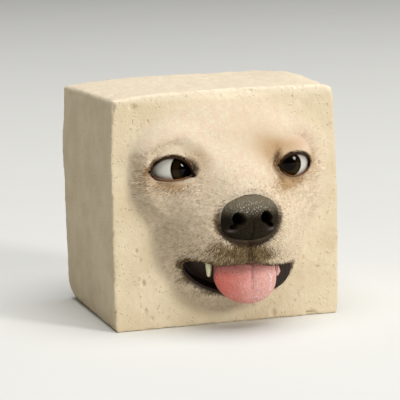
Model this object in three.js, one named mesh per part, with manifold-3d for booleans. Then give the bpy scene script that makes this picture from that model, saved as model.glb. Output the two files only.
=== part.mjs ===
/**
 * A block of tofu whose front swells into the face of a small dog.
 *
 * Millimetres, +Z up. The front looks along -Y and +X is to the right of somebody who faces it.
 * The origin is the centre of the flat base. Names with "left" and "right" are as that somebody sees them.
 *
 * Points on the face are given as u (along X), v (along Z) and a height that stands out of the
 * block's flat front, so a point is (u, -front - height, v).
 */
import * as THREE from 'three';
import { mergeVertices } from 'three/addons/utils/BufferGeometryUtils.js';
import Module from 'manifold-3d';

const wasm = await Module();
wasm.setup();

// ---------------------------------------------------------------- driving dimensions

const BLOCK = { width: 83, depth: 62, height: 79.9, edge: 1.3 };
const TOP_DOME = { rise: 2.5, middle: 8, reach: 52, backShare: 0.7, lowCorner: 0.6 };
const SHOULDER = { rise: 1.75, from: 20, to: 36, middle: 3, spread: 20 };
const BACK_BULGE = { even: 0.75, local: 0.6, level: 58, spread: 8 };
const LEAN = { right: 1.4, left: 0.8 };
const CORNER = { top: 0.55, topSpread: 3.5, foot: 0.6, footSpread: 2.5, backFoot: 1.3, backFootSpread: 4 };
const GAP = 0.3;

const FACE = { middle: 1.4, level: 39.3, lean: -3 };
const MUZZLE = { reach: 21, halfWidth: 24.5, jawWiden: 2.5, up: 33, down: 33.5, bridge: 2.9 };
const HEAD = {
  swell: 4.6, halfWidth: 37.4, narrowing: 22, middle: 9, up: 30, down: 42, flatLeft: 0.86, flatRight: 0.45,
};
const CHEEK = { swell: 2.4, out: 18.5, below: 5 };
const CHEEKBONE = { swellLeft: 2.4, swellRight: 1, out: 25, above: 8 };
const PHILTRUM = { depth: 0.9, halfWidth: 0.9, lobe: 0.5 };
const NOSE_CREASE = { depth: 1.5, ring: 1.05, spread: 0.16 };

const BALL_RADIUS = 9;
const LID_THICKNESS = 1;
const LID_RIM = { inward: 0.35, outward: 0.55, proud: 0.1, depth: 1.2 };
const LID_HUG = { over: 0.3, least: 5, full: 1.06, reach: 1.75 };
const IRIS_THICKNESS = 0.7;
const EYES = [
  {
    name: 'left', side: -1, corners: [-21.4, 55.1], halfLength: 7.2, tilt: -5,
    upper: 6.0, lower: 2.2, upperCurve: 0.72, lowerCurve: 0.62,
    ball: [-19.9, 55.9], sink: 1.0, irisRadius: 5.1, gaze: { yaw: 17, pitch: 4 },
    brow: 1.1, bag: 0, innerSwell: { rise: 2.3, out: 1, up: -1.4, spread: [7.8, 12.2] }, innerReach: 1.28,
  },
  {
    name: 'right', side: 1, corners: [23.1, 55.6], halfLength: 6.5, tilt: 0,
    upper: 3.8, lower: 4.3, upperCurve: 0.55, lowerCurve: 0.55,
    ball: [21.3, 55.6], sink: 1.4, irisRadius: 4.3, gaze: { yaw: -4, pitch: 1 },
    brow: 0.3, bag: 0.5, innerSwell: { rise: -0.8, out: 9, up: -1, spread: [3.5, 5] }, innerReach: 1.75,
  },
];

const NOSE = {
  centre: [1.8, 17, 39.9], halfWidth: 10.7, halfDepth: 6.5, halfHeight: 8.75, upperSquare: 2.2, lowerSquare: 2.35,
};
const NOSTRIL = { inset: 4.9, lift: 0.8, halfWidth: 1.9, halfHeight: 2.1, depth: 3.4, slit: 3.4 };

const MOUTH = {
  middle: 1.6, halfWidth: 20.3, level: 21.8, drop: 0.0885, lipRise: 1.55, lipLean: 0.04, opening: 10.4, sag: 0.12,
};
const MOUTH_FLOOR = 4;
const LINING = { lipEdge: 0.4, recess: 5, ramp: 3.5, highest: 10, thinnest: 0.6 };
const TONGUE = {
  middle: 1.35, drift: 3.2, halfWidth: 11.35, widest: 19.8, tip: 8.6, root: 26.3,
  halfThickness: 2.5, out: 13.8, droop: 3.7,
};
const TOOTH = { at: [-10.95, 11.6], root: 26.5, tip: 19.4, radius: 1.15, tipRadius: 0.75 };
const LIP_FOLD = { centre: [15.3, 8.3, 19.3], halfWidth: 1, halfDepth: 2.2, halfHeight: 2.2 };

// The larger pits and chips: u, v, half length across, half height
const PITS = [
  [-4.6, 72.6, 0.9, 1.6],
  [-2.0, 81.5, 3.2, 1.0],
  [33.2, 17.5, 1.4, 0.6],
  [-31.0, 16.7, 1.1, 1.3],
  [-33.2, 28.2, 0.8, 0.9],
  [-41.0, 77.8, 1.2, 1.8],
  [30.6, 0.9, 2.6, 1.1],
];

const FRONT = BLOCK.depth / 2;
const HALF_WIDTH = BLOCK.width / 2;

// ---------------------------------------------------------------- small maths

const clamp = THREE.MathUtils.clamp;
const lerp = THREE.MathUtils.lerp;
const radians = THREE.MathUtils.degToRad;

/** Goes smoothly from 0 at a to 1 at b, in either order. */
function step(a, b, x) {
  const t = clamp((x - a) / (b - a), 0, 1);
  return t * t * (3 - 2 * t);
}

/** The larger of two heights, with the crease between them rounded over k. */
function smoothMax(a, b, k) {
  const t = clamp(0.5 + (0.5 * (a - b)) / k, 0, 1);
  return lerp(b, a, t) + k * t * (1 - t);
}

/** A round hump of height 1, falling off over the distances given. */
function hump(a, b, spreadA, spreadB) {
  return Math.exp(-((a / spreadA) ** 2) - (b / spreadB) ** 2);
}

/** A point of the face: u across, v up, height out of the flat front. */
function facePoint(u, v, height) {
  return [u, -FRONT - height, v];
}

// ---------------------------------------------------------------- meshes and solids

/** Turns points and triangles into a geometry. */
function geometryFrom(points, triangles) {
  const geometry = new THREE.BufferGeometry();
  geometry.setAttribute('position', new THREE.Float32BufferAttribute(points.flat(), 3));
  geometry.setIndex(triangles);
  return geometry;
}

/** A closed geometry as a solid that can be cut and joined. */
function toSolid(geometry) {
  const bare = geometry.clone();
  bare.deleteAttribute('normal');
  bare.deleteAttribute('uv');
  const merged = mergeVertices(bare, 1e-4);
  return new wasm.Manifold(new wasm.Mesh({
    numProp: 3,
    vertProperties: new Float32Array(merged.attributes.position.array),
    triVerts: new Uint32Array(merged.index.array),
  }));
}

/** A solid back as a geometry. */
function toGeometry(solid) {
  const mesh = solid.getMesh();
  const geometry = new THREE.BufferGeometry();
  geometry.setAttribute('position', new THREE.Float32BufferAttribute(mesh.vertProperties, 3));
  geometry.setIndex(Array.from(mesh.triVerts));
  geometry.computeVertexNormals();
  return geometry;
}

/** Closed surface over the six sides of a box, each side divided at the given lines. */
function boxSurface(linesX, linesY, linesZ, place) {
  const points = [];
  const triangles = [];
  const sheet = (across, up, at) => {
    const first = points.length;
    across.forEach((a) => up.forEach((b) => points.push(place(...at(a, b)))));
    for (let i = 0; i < across.length - 1; i += 1) {
      for (let j = 0; j < up.length - 1; j += 1) {
        const here = first + i * up.length + j;
        const next = here + up.length;
        triangles.push(here, next, next + 1, here, next + 1, here + 1);
      }
    }
  };
  const low = (lines) => lines[0];
  const high = (lines) => lines[lines.length - 1];
  sheet(linesX, linesZ, (x, z) => [x, low(linesY), z]);
  sheet(linesZ, linesX, (z, x) => [x, high(linesY), z]);
  sheet(linesZ, linesY, (z, y) => [low(linesX), y, z]);
  sheet(linesY, linesZ, (y, z) => [high(linesX), y, z]);
  sheet(linesY, linesX, (y, x) => [x, y, low(linesZ)]);
  sheet(linesX, linesY, (x, y) => [x, y, high(linesZ)]);
  return geometryFrom(points, triangles);
}

/** Rings of equal length skinned one to the next. Open rows are capped flat, a loop joins up. */
function loft(rings, joined = false) {
  const size = rings[0].length;
  const points = rings.flat();
  const triangles = [];
  const spans = joined ? rings.length : rings.length - 1;
  for (let i = 0; i < spans; i += 1) {
    const here = i * size;
    const next = ((i + 1) % rings.length) * size;
    for (let j = 0; j < size; j += 1) {
      const k = (j + 1) % size;
      triangles.push(here + j, next + j, next + k, here + j, next + k, here + k);
    }
  }
  if (!joined) {
    const last = (rings.length - 1) * size;
    for (let j = 1; j < size - 1; j += 1) {
      triangles.push(0, j, j + 1, last, last + j + 1, last + j);
    }
  }
  return geometryFrom(points, triangles);
}

/** A loft with its faces turned outwards, whichever way its rings ran. */
function outwardLoft(rings, joined = false) {
  const geometry = loft(rings, joined);
  const index = geometry.index.array;
  const corners = geometry.attributes.position;
  const [a, b, c] = [0, 1, 2].map(() => new THREE.Vector3());
  let volume = 0;
  for (let i = 0; i < index.length; i += 3) {
    a.fromBufferAttribute(corners, index[i]);
    b.fromBufferAttribute(corners, index[i + 1]);
    c.fromBufferAttribute(corners, index[i + 2]);
    volume += a.dot(b.cross(c));
  }
  if (volume < 0) index.reverse();
  return geometry;
}

/** The outline given as [u, v] points, cut straight back from one height to another. */
function prism(outline, lowHeight, highHeight) {
  const shape = new THREE.Shape(outline.map(([u, v]) => new THREE.Vector2(u, v)));
  const geometry = new THREE.ExtrudeGeometry(shape, { depth: highHeight - lowHeight, bevelEnabled: false });
  geometry.rotateX(Math.PI / 2);
  geometry.translate(0, -FRONT - lowHeight, 0);
  return toSolid(geometry);
}

/** A ball squeezed to the half sizes given. */
function ellipsoid(centre, halfSizes, around = 16, down = 10) {
  const geometry = new THREE.SphereGeometry(1, around, down);
  geometry.scale(...halfSizes);
  geometry.translate(...centre);
  return toSolid(geometry);
}

// ---------------------------------------------------------------- the block

/** Moves a point of the straight-sided block to where the soft, hand-cut block has it. */
function settle(x, y, z) {
  const high = z / BLOCK.height;
  const frontShare = 0.5 - y / BLOCK.depth;
  const dome = 1 - Math.abs((x - TOP_DOME.middle) / TOP_DOME.reach) ** 3;
  const rise = TOP_DOME.rise * dome * lerp(TOP_DOME.backShare, 1, frontShare);
  const shoulder = SHOULDER.rise * step(SHOULDER.from, SHOULDER.to, x)
    * hump(y - SHOULDER.middle, 0, SHOULDER.spread, 1);
  const lowCorner = TOP_DOME.lowCorner * hump(x + HALF_WIDTH, y - FRONT, 14, 14);
  const backLeft = step(0.75, 0, frontShare) * step(0, -HALF_WIDTH, x);
  const bulge = BACK_BULGE.even * Math.sin(Math.PI * clamp(high, 0, 1))
    + BACK_BULGE.local * hump(z - BACK_BULGE.level, 0, BACK_BULGE.spread, 1);
  const rightLean = LEAN.right * step(0.5, 1.05, high) * step(HALF_WIDTH - 12, HALF_WIDTH, x);
  const leftLean = LEAN.left * step(0.7, 1, high) * frontShare * step(12 - HALF_WIDTH, -HALF_WIDTH, x);
  const corner = CORNER.top * hump(x - HALF_WIDTH, z - BLOCK.height, CORNER.topSpread, CORNER.topSpread);
  const foot = CORNER.foot * hump(Math.abs(x) - HALF_WIDTH, z, CORNER.footSpread, CORNER.footSpread);
  const backFoot = CORNER.backFoot * (1 - frontShare)
    * hump(x + HALF_WIDTH, z, CORNER.backFootSpread, CORNER.backFootSpread);
  return [
    x - backLeft * bulge - rightLean + leftLean - corner - Math.sign(x) * foot + backFoot,
    y,
    z + (rise + shoulder - lowCorner) * high ** 5 - corner,
  ];
}

/** The block's own surface: a box with rounded edges, its top domed and its sides uneven. */
function blockSolid() {
  const round = BLOCK.edge;
  const lines = (low, high, spans) => {
    const inner = Array.from({ length: spans + 1 }, (_, i) => lerp(low + round, high - round, i / spans));
    return [low, ...inner, high];
  };
  const place = (x, y, z) => {
    const inner = new THREE.Vector3(
      clamp(x, -HALF_WIDTH + round, HALF_WIDTH - round),
      clamp(y, -FRONT + round, FRONT - round),
      clamp(z, round, BLOCK.height - round),
    );
    const out = new THREE.Vector3(x, y, z).sub(inner).normalize().multiplyScalar(round);
    return settle(...inner.add(out).toArray());
  };
  return toSolid(boxSurface(
    lines(-HALF_WIDTH, HALF_WIDTH, 9),
    lines(-FRONT, FRONT, 7),
    lines(0, BLOCK.height, 9),
    place,
  ));
}

// ---------------------------------------------------------------- the face's relief

/** Along the face's own right (m) and own up (n), since the face leans a little. */
function faceFrame(u, v) {
  const lean = radians(FACE.lean);
  const across = u - FACE.middle;
  const up = v - FACE.level;
  return [
    across * Math.cos(lean) + up * Math.sin(lean),
    -across * Math.sin(lean) + up * Math.cos(lean),
  ];
}

/** The long dome of the snout, steep at the chin and running up into the forehead. */
function muzzle(m, n) {
  const reach = n > 0 ? MUZZLE.up : MUZZLE.down;
  const halfWidth = MUZZLE.halfWidth + MUZZLE.jawWiden * step(0, -18, n);
  const square = lerp(2, MUZZLE.bridge, step(0, 14, n));
  const out = Math.min((Math.abs(m / halfWidth) ** square + Math.abs(n / reach) ** square) ** (1 / square), 1.4);
  const fall = n > 0 ? lerp(2.15, 1.7, step(0, 12, n)) : lerp(2.15, 2.5, step(0, -14, n));
  return MUZZLE.reach * (1 - out ** fall);
}

/** The low plateau of the skull, with a clear edge beside the eyes and none at the forehead. */
function skull(m, n) {
  const halfWidth = HEAD.halfWidth - HEAD.narrowing * step(6, -24, n);
  const reach = n > HEAD.middle ? HEAD.up : HEAD.down;
  const out = Math.cbrt(Math.abs(m / halfWidth) ** 3 + Math.abs((n - HEAD.middle) / reach) ** 3);
  const besideEye = lerp(HEAD.flatLeft, HEAD.flatRight, step(-5, 5, m));
  const plateau = lerp(lerp(besideEye, 0.45, step(12, -12, n)), 0.55, step(20, 32, n));
  return HEAD.swell * (1 - step(plateau, 1.04, out));
}

/** Height of an eye's ball, or of a larger ball round it, over the flat front. */
function ballHeight(eye, u, v, radius) {
  const square = radius ** 2 - (u - eye.ball[0]) ** 2 - (v - eye.ball[1]) ** 2;
  return square > 0 ? Math.sqrt(square) - eye.sink : -BALL_RADIUS;
}

/** 1 at the edge of the gap between the lids, larger outside it. */
function lidDistance(eye, u, v) {
  const halfHeight = (eye.upper + eye.lower) / 2;
  const middle = eye.corners[1] + (eye.upper - eye.lower) / 2;
  return Math.hypot((u - eye.corners[0]) / eye.halfLength, (v - middle) / halfHeight);
}

/** Brow, bag and swelling (or hollow) at the inner corner of one eye, with the lids over its ball. */
function orbit(height, eye, u, v) {
  const du = u - eye.ball[0];
  const dv = v - eye.ball[1];
  const ring = Math.hypot((du - eye.side * 1.5) / 12.5, dv / 11.5);
  const above = step(-2, 7, dv);
  const brow = eye.brow * above * hump(ring - 1, 0, 0.3, 1);
  const bag = eye.bag * (1 - above) * hump(ring - 0.9, 0, 0.22, 1);
  const { rise, out, up, spread } = eye.innerSwell;
  const shaped = height + brow + bag + rise * hump(du + eye.side * out, dv - up, ...spread);
  const lid = ballHeight(eye, u, v, BALL_RADIUS + LID_THICKNESS);
  const hugging = Math.min(shaped, Math.max(lid + LID_HUG.over, LID_HUG.least));
  const inner = step(0, 1, (eye.side * (eye.corners[0] - u)) / eye.halfLength);
  const near = step(lerp(LID_HUG.reach, eye.innerReach, inner), LID_HUG.full, lidDistance(eye, u, v));
  return smoothMax(lerp(shaped, hugging, near), lid, 2.4);
}

/** The crease that the skin makes round the lower half of the nose. */
function noseCrease(u, v) {
  const [across, , level] = NOSE.centre;
  const ring = Math.hypot((u - across) / NOSE.halfWidth, (v - level) / NOSE.halfHeight);
  return NOSE_CREASE.depth * step(1, -6, v - level) * hump(ring - NOSE_CREASE.ring, 0, NOSE_CREASE.spread, 1);
}

/** Height of the face's skin over the flat front, with eyes and mouth still shut. */
function skin(u, v) {
  const [m, n] = faceFrame(u, v);
  let height = smoothMax(muzzle(m, n), skull(m, n), 9);
  height += CHEEK.swell * hump(Math.abs(m) - CHEEK.out, n + CHEEK.below, 7.5, 13);
  height += lerp(CHEEKBONE.swellLeft, CHEEKBONE.swellRight, step(-5, 5, m))
    * hump(Math.abs(m) - CHEEKBONE.out, n - CHEEKBONE.above, 7, 10);
  height = EYES.reduce((sum, eye) => orbit(sum, eye, u, v), height);
  const underNose = step(-6, -9, n) * step(-17.5, -14, n);
  const groove = PHILTRUM.depth * hump(m, 0, PHILTRUM.halfWidth, 1);
  const lobes = PHILTRUM.lobe * hump(Math.abs(m) - 5, 0, 4, 1);
  return height + underNose * (lobes - groove) - noseCrease(u, v);
}

/** The swelling as a closed body: a grid over the front, drawn together at a point inside the block. */
function reliefSolid() {
  const [columns, rows] = [55, 57];
  const [left, right, bottom, top] = [-39.8, 39.8, 1.6, 78.6];
  const bury = 0.15;
  const points = [];
  for (let i = 0; i <= columns; i += 1) {
    for (let j = 0; j <= rows; j += 1) {
      const u = lerp(left, right, i / columns);
      const v = lerp(bottom, top, j / rows);
      const edge = i === 0 || j === 0 || i === columns || j === rows;
      const [x, , z] = settle(u, -FRONT, v);
      points.push(facePoint(x, z, edge ? -1 : skin(u, v) - bury));
    }
  }
  const apex = points.length;
  points.push([0, 0, BLOCK.height / 2]);
  const at = (i, j) => i * (rows + 1) + j;
  const triangles = [];
  for (let i = 0; i < columns; i += 1) {
    for (let j = 0; j < rows; j += 1) {
      const [a, b, c, d] = [at(i, j), at(i + 1, j), at(i + 1, j + 1), at(i, j + 1)];
      triangles.push(a, b, c, a, c, d);
    }
    triangles.push(at(i + 1, 0), at(i, 0), apex, at(i, rows), at(i + 1, rows), apex);
  }
  for (let j = 0; j < rows; j += 1) {
    triangles.push(at(0, j), at(0, j + 1), apex, at(columns, j + 1), at(columns, j), apex);
  }
  return toSolid(geometryFrom(points, triangles));
}

// ---------------------------------------------------------------- eyes

const ballCentre = (eye) => [eye.ball[0], -FRONT + eye.sink, eye.ball[1]];

/** Outline of the gap between the lids, let out by the distance given. */
function lidOutline(eye, grow, spans = 18) {
  const halfLength = eye.halfLength + grow;
  const tilt = radians(eye.tilt);
  const edge = (angle) => {
    const x = -halfLength * Math.cos(angle);
    const share = Math.max(Math.sin(angle) ** 2, 1e-9);
    const y = angle < Math.PI
      ? (eye.upper + grow) * share ** eye.upperCurve
      : -(eye.lower + grow) * share ** eye.lowerCurve;
    return [
      eye.corners[0] + x * Math.cos(tilt) - y * Math.sin(tilt),
      eye.corners[1] + x * Math.sin(tilt) + y * Math.cos(tilt),
    ];
  };
  return Array.from({ length: 2 * spans }, (_, i) => edge((Math.PI * i) / spans));
}

/** The dark edge of both lids: a flat band that follows the gap and lies just proud of the skin. */
function lidRim(eye) {
  const inner = lidOutline(eye, -LID_RIM.inward);
  const outer = lidOutline(eye, LID_RIM.outward);
  const [cx, cy, cz] = ballCentre(eye);
  const section = (a, b) => {
    const front = (point) => skin(...point) + LID_RIM.proud;
    const back = (point) => Math.max(front(point) - LID_RIM.depth, ballHeight(eye, ...point, BALL_RADIUS + GAP));
    return [[a, front(a)], [b, front(b)], [b, back(b)], [a, back(a)]]
      .map(([[u, v], height]) => facePoint(u, v, height))
      .map(([x, y, z]) => [x - cx, y - cy, z - cz]);
  };
  return outwardLoft(inner.map((point, i) => section(point, outer[i])), true);
}

/** Turn that brings the Y axis to where the eye looks. */
function gazeTurn(eye) {
  const yaw = radians(eye.gaze.yaw);
  const pitch = radians(eye.gaze.pitch);
  const look = new THREE.Vector3(
    Math.sin(yaw) * Math.cos(pitch),
    -Math.cos(yaw) * Math.cos(pitch),
    Math.sin(pitch),
  );
  return new THREE.Quaternion().setFromUnitVectors(new THREE.Vector3(0, 1, 0), look);
}

/** The white of the eye: a ball with a round seat for the iris. */
function eyeball(eye) {
  const rimDepth = Math.sqrt(BALL_RADIUS ** 2 - eye.irisRadius ** 2) - IRIS_THICKNESS - GAP;
  const seat = new THREE.CylinderGeometry(eye.irisRadius + GAP, eye.irisRadius + GAP, BALL_RADIUS, 20);
  seat.translate(0, rimDepth + BALL_RADIUS / 2, 0);
  seat.applyQuaternion(gazeTurn(eye));
  const ball = toSolid(new THREE.SphereGeometry(BALL_RADIUS, 18, 12));
  return toGeometry(ball.subtract(toSolid(seat)));
}

/** Iris and pupil: a lens whose front carries on the curve of the ball. */
function iris(radius) {
  const rim = Math.asin(radius / BALL_RADIUS);
  const floor = BALL_RADIUS * Math.cos(rim) - IRIS_THICKNESS;
  const profile = [new THREE.Vector2(0, floor), new THREE.Vector2(radius, floor)];
  for (let i = 4; i >= 0; i -= 1) {
    const angle = (rim * i) / 4;
    profile.push(new THREE.Vector2(BALL_RADIUS * Math.sin(angle), BALL_RADIUS * Math.cos(angle)));
  }
  profile[profile.length - 1].x = 0;
  return new THREE.LatheGeometry(profile, 18);
}

// ---------------------------------------------------------------- nose

/** The nose pad, let out by the distance given: broad, and squarer below than above. */
function nosePad(grow, around = 24, down = 14) {
  const geometry = new THREE.SphereGeometry(1, around, down);
  geometry.rotateX(Math.PI / 2);
  const place = geometry.attributes.position;
  for (let i = 0; i < place.count; i += 1) {
    const [x, y, z] = [place.getX(i), place.getY(i), place.getZ(i)];
    const square = lerp(NOSE.upperSquare, NOSE.lowerSquare, step(0.2, -0.3, z));
    const round = Math.hypot(x, z) || 1;
    const fill = (Math.abs(x / round) ** square + Math.abs(z / round) ** square) ** (-1 / square);
    const crease = 0.45 * hump(x, 0, 0.07, 1) * step(0.2, -0.3, z) * step(0, -0.6, y);
    place.setXYZ(
      i,
      x * fill * (NOSE.halfWidth + grow),
      y * (NOSE.halfDepth + grow) + crease,
      z * fill * (NOSE.halfHeight + grow),
    );
  }
  return geometry;
}

/** The nose with its nostrils: a round hole each, drawn out into a slit towards the side. */
function noseGeometry() {
  let pad = toSolid(nosePad(0));
  [-1, 1].forEach((side) => {
    const x = side * NOSTRIL.inset;
    const front = -NOSE.halfDepth + 0.4;
    const hole = [NOSTRIL.halfWidth, NOSTRIL.depth, NOSTRIL.halfHeight];
    const slit = [NOSTRIL.slit / 2, NOSTRIL.depth * 0.7, 0.5];
    const slitGeometry = new THREE.SphereGeometry(1, 12, 8);
    slitGeometry.scale(...slit);
    slitGeometry.rotateY(side * radians(38));
    slitGeometry.translate(x + side * 2.2, front + 1.6, NOSTRIL.lift - 2);
    pad = pad.subtract(ellipsoid([x, front, NOSTRIL.lift], hole, 14, 8));
    pad = pad.subtract(toSolid(slitGeometry));
  });
  return toGeometry(pad);
}

// ---------------------------------------------------------------- mouth

/** Heights of the upper and the lower lip line at u. */
function lips(u) {
  const along = u - MOUTH.middle;
  const share = Math.min(Math.abs(along) / MOUTH.halfWidth, 1);
  const corner = MOUTH.level - MOUTH.drop * along;
  const flews = 1.2 * hump(u - 3.2, 0, 4.5, 1) - hump(u + 9.5, 0, 3.2, 1);
  const upper = corner + (MOUTH.lipRise - MOUTH.lipLean * along) * Math.sqrt(1 - share ** 8) + flews;
  const lower = corner - (MOUTH.opening + MOUTH.sag * Math.max(along, 0)) * Math.sqrt(1 - share ** 2);
  return { upper, lower };
}

/** Points along the mouth from corner to corner, closer together near the corners. */
function mouthStations(inset, spans) {
  const half = MOUTH.halfWidth - inset;
  return Array.from({ length: spans + 1 }, (_, i) => MOUTH.middle - half * Math.cos((Math.PI * i) / spans));
}

/** The gap between the lips, cut back to the floor of the mouth. */
function mouthPocket() {
  const stations = mouthStations(0.02, 24);
  const lower = stations.map((u) => [u, lips(u).lower]);
  const upper = stations.map((u) => [u, lips(u).upper]).reverse();
  return prism([...lower, ...upper], MOUTH_FLOOR, MUZZLE.reach + 8);
}

/** Height of the wet lining at a point inside the mouth. */
function liningHeight(u, v) {
  const inward = v - lips(u).lower;
  const recess = lerp(LINING.lipEdge, LINING.recess, step(0, LINING.ramp, inward));
  return clamp(skin(u, v) - recess, MOUTH_FLOOR + GAP + LINING.thinnest, LINING.highest);
}

/** The dark lower lip and floor of the mouth, as one curved strip that fills the gap from behind. */
function mouthLining() {
  const back = MOUTH_FLOOR + GAP;
  const rings = mouthStations(GAP + 0.1, 24).map((u) => {
    const { upper, lower } = lips(u);
    const low = lower + GAP;
    const high = Math.max(upper - GAP, low + 0.3);
    const front = [0, 0.12, 0.3, 0.6, 1].map((share) => {
      const v = lerp(low, high, share);
      return facePoint(u, v, liningHeight(u, v));
    });
    return [facePoint(u, low, back), ...front, facePoint(u, high, back)];
  });
  return outwardLoft(rings);
}

/** The tongue hangs over the lower lip: rounded in section, grooved along its middle. */
function tongueGeometry() {
  const spans = 16;
  const around = 20;
  const rootBack = LINING.highest + GAP;
  const rings = [];
  for (let i = 0; i <= spans; i += 1) {
    const angle = (Math.PI / 2) * (i / spans);
    const v = i === spans ? TONGUE.tip : lerp(TONGUE.root, TONGUE.tip, Math.sin(angle));
    const fall = clamp((TONGUE.widest - v) / (TONGUE.widest - TONGUE.tip), 0, 0.999);
    const halfWidth = TONGUE.halfWidth * Math.sqrt(1 - fall ** 2) - 0.3 * step(18, 24, v);
    const middle = TONGUE.middle + TONGUE.drift * fall ** 1.4;
    const thickness = TONGUE.halfThickness * Math.sqrt(1 - fall ** 4);
    const height = TONGUE.out - TONGUE.droop * fall ** 2 - 0.12 * Math.max(v - TONGUE.widest, 0);
    rings.push(Array.from({ length: around }, (_, j) => {
      const turn = (2 * Math.PI * j) / around;
      const side = Math.cos(turn);
      const out = Math.sin(turn);
      const groove = out > 0 ? 0.5 * hump(side, 0, 0.16, 1) * (1 - fall) : 0;
      const deep = out < 0 ? lerp(thickness, height - rootBack, step(14, 18, v)) : thickness;
      return facePoint(middle + halfWidth * side, v, height + deep * out - groove);
    }));
  }
  const upperLip = mouthStations(0, 24).map((u) => [u, lips(u).upper - GAP]);
  const above = [...upperLip, [MOUTH.middle + 25, 41], [MOUTH.middle - 25, 41]];
  return toGeometry(toSolid(outwardLoft(rings)).subtract(prism(above, 0, 30)));
}

/** A canine tooth: a slim cone with a blunt tip, its root up in the lip. */
function toothProfile(grow) {
  const length = TOOTH.root - TOOTH.tip;
  const radius = TOOTH.radius + grow;
  return [
    [0, -grow], [TOOTH.tipRadius + grow, 0.15 - grow], [0.75 * radius, 0.35 * length],
    [radius, 0.6 * length], [radius, length + grow], [0, length + grow],
  ].map(([r, y]) => new THREE.Vector2(r, y));
}

function toothGeometry(grow = 0) {
  const geometry = new THREE.LatheGeometry(toothProfile(grow), 10);
  geometry.rotateX(Math.PI / 2);
  return geometry;
}

const toothPlace = facePoint(TOOTH.at[0], TOOTH.tip, TOOTH.at[1]);

// ---------------------------------------------------------------- everything cut out of the block

/** The tofu itself: block and face as one body, with sockets, seats, mouth, pits and chips. */
function tofuGeometry() {
  let tofu = blockSolid().add(reliefSolid());
  EYES.forEach((eye) => {
    const gap = prism(lidOutline(eye, LID_RIM.outward + GAP), -eye.sink + 0.6, 30);
    const socket = BALL_RADIUS + GAP;
    tofu = tofu.subtract(gap).subtract(ellipsoid(ballCentre(eye), [socket, socket, socket], 24, 16));
  });
  const noseSeat = nosePad(GAP, 20, 12);
  noseSeat.translate(...facePoint(NOSE.centre[0], NOSE.centre[2], NOSE.centre[1]));
  const toothSeat = toothGeometry(GAP);
  toothSeat.translate(...toothPlace);
  tofu = tofu.subtract(toSolid(noseSeat)).subtract(mouthPocket()).subtract(toSolid(toothSeat));
  PITS.forEach(([u, v, halfLength, halfHeight]) => {
    const pit = new THREE.IcosahedronGeometry(1, 0);
    pit.scale(halfLength, 0.8, halfHeight);
    pit.translate(...facePoint(u, v, skin(u, v)));
    tofu = tofu.subtract(toSolid(pit));
  });
  return toGeometry(tofu);
}

// ---------------------------------------------------------------- the object

/** A named mesh with a finish of its own. */
function piece(name, geometry, colour, roughness, place = [0, 0, 0]) {
  const material = new THREE.MeshStandardMaterial({ color: colour, roughness, metalness: 0 });
  const mesh = new THREE.Mesh(geometry, material);
  mesh.name = name;
  mesh.position.set(...place);
  return mesh;
}

/** One eye as a group at the centre of its ball. */
function eyeGroup(eye) {
  const group = new THREE.Group();
  group.position.set(...ballCentre(eye));
  const lens = piece(`${eye.name}_iris`, iris(eye.irisRadius), 0x1d110c, 0.1);
  lens.quaternion.copy(gazeTurn(eye));
  group.add(
    piece(`${eye.name}_eyeball`, eyeball(eye), 0xd0ccc0, 0.2),
    lens,
    piece(`${eye.name}_lid_rim`, lidRim(eye), 0x33210f, 0.5),
  );
  return group;
}

const nosePlace = facePoint(NOSE.centre[0], NOSE.centre[2], NOSE.centre[1]);
const foldPlace = facePoint(LIP_FOLD.centre[0], LIP_FOLD.centre[2], LIP_FOLD.centre[1]);
const foldGeometry = new THREE.SphereGeometry(1, 12, 8);
foldGeometry.scale(LIP_FOLD.halfWidth, LIP_FOLD.halfDepth, LIP_FOLD.halfHeight);

const dogTofu = new THREE.Group();
dogTofu.add(
  piece('tofu_block', tofuGeometry(), 0xe8d6b4, 0.8),
  ...EYES.map(eyeGroup),
  piece('nose', noseGeometry(), 0x2b241b, 0.45, nosePlace),
  piece('mouth_lining', mouthLining(), 0x160c07, 0.5),
  piece('tongue', tongueGeometry(), 0xd2857a, 0.4),
  piece('canine_tooth', toothGeometry(), 0xd8d2a8, 0.35, toothPlace),
  piece('lip_fold', foldGeometry, 0xb9645c, 0.4, foldPlace),
);

export default dogTofu;
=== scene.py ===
# %% [markdown]
# # A block of tofu with a small dog's face
#
# The block is firm tofu: a soft-edged cuboid with a domed top, fine pores and a few chips. Its front
# swells into a dog's face, so the tofu block and the face's skin are one body. Eyes, nose, tongue, tooth
# and the dark lining of the mouth are pieces of their own, set into it.
#
# The solid model is the frame. It gives the places and sizes of eyes, nose, tooth and lip fold, and the
# block and its relief repeat its measures by name. All lengths below are millimetres until a mesh is made,
# because a block this small is easier to think about that way. `u` runs to the right across the front,
# `v` runs up, and `height` stands out of the flat front.

# %% The frame
import math

import bpy
import numpy as np
from mathutils import Matrix, Vector, noise


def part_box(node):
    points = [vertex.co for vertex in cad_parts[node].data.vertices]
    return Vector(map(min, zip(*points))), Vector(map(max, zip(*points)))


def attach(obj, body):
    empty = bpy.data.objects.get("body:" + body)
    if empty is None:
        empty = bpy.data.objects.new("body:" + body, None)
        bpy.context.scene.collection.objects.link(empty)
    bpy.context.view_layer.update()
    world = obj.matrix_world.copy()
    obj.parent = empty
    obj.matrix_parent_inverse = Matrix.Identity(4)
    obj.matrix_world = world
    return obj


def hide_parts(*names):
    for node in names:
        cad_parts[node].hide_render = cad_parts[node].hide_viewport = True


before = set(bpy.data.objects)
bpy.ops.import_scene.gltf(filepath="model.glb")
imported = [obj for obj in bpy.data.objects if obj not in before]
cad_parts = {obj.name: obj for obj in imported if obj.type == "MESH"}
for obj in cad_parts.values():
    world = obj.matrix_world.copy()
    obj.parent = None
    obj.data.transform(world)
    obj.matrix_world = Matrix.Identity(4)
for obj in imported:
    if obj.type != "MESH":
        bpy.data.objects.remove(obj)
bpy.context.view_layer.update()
MM = 0.001


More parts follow.
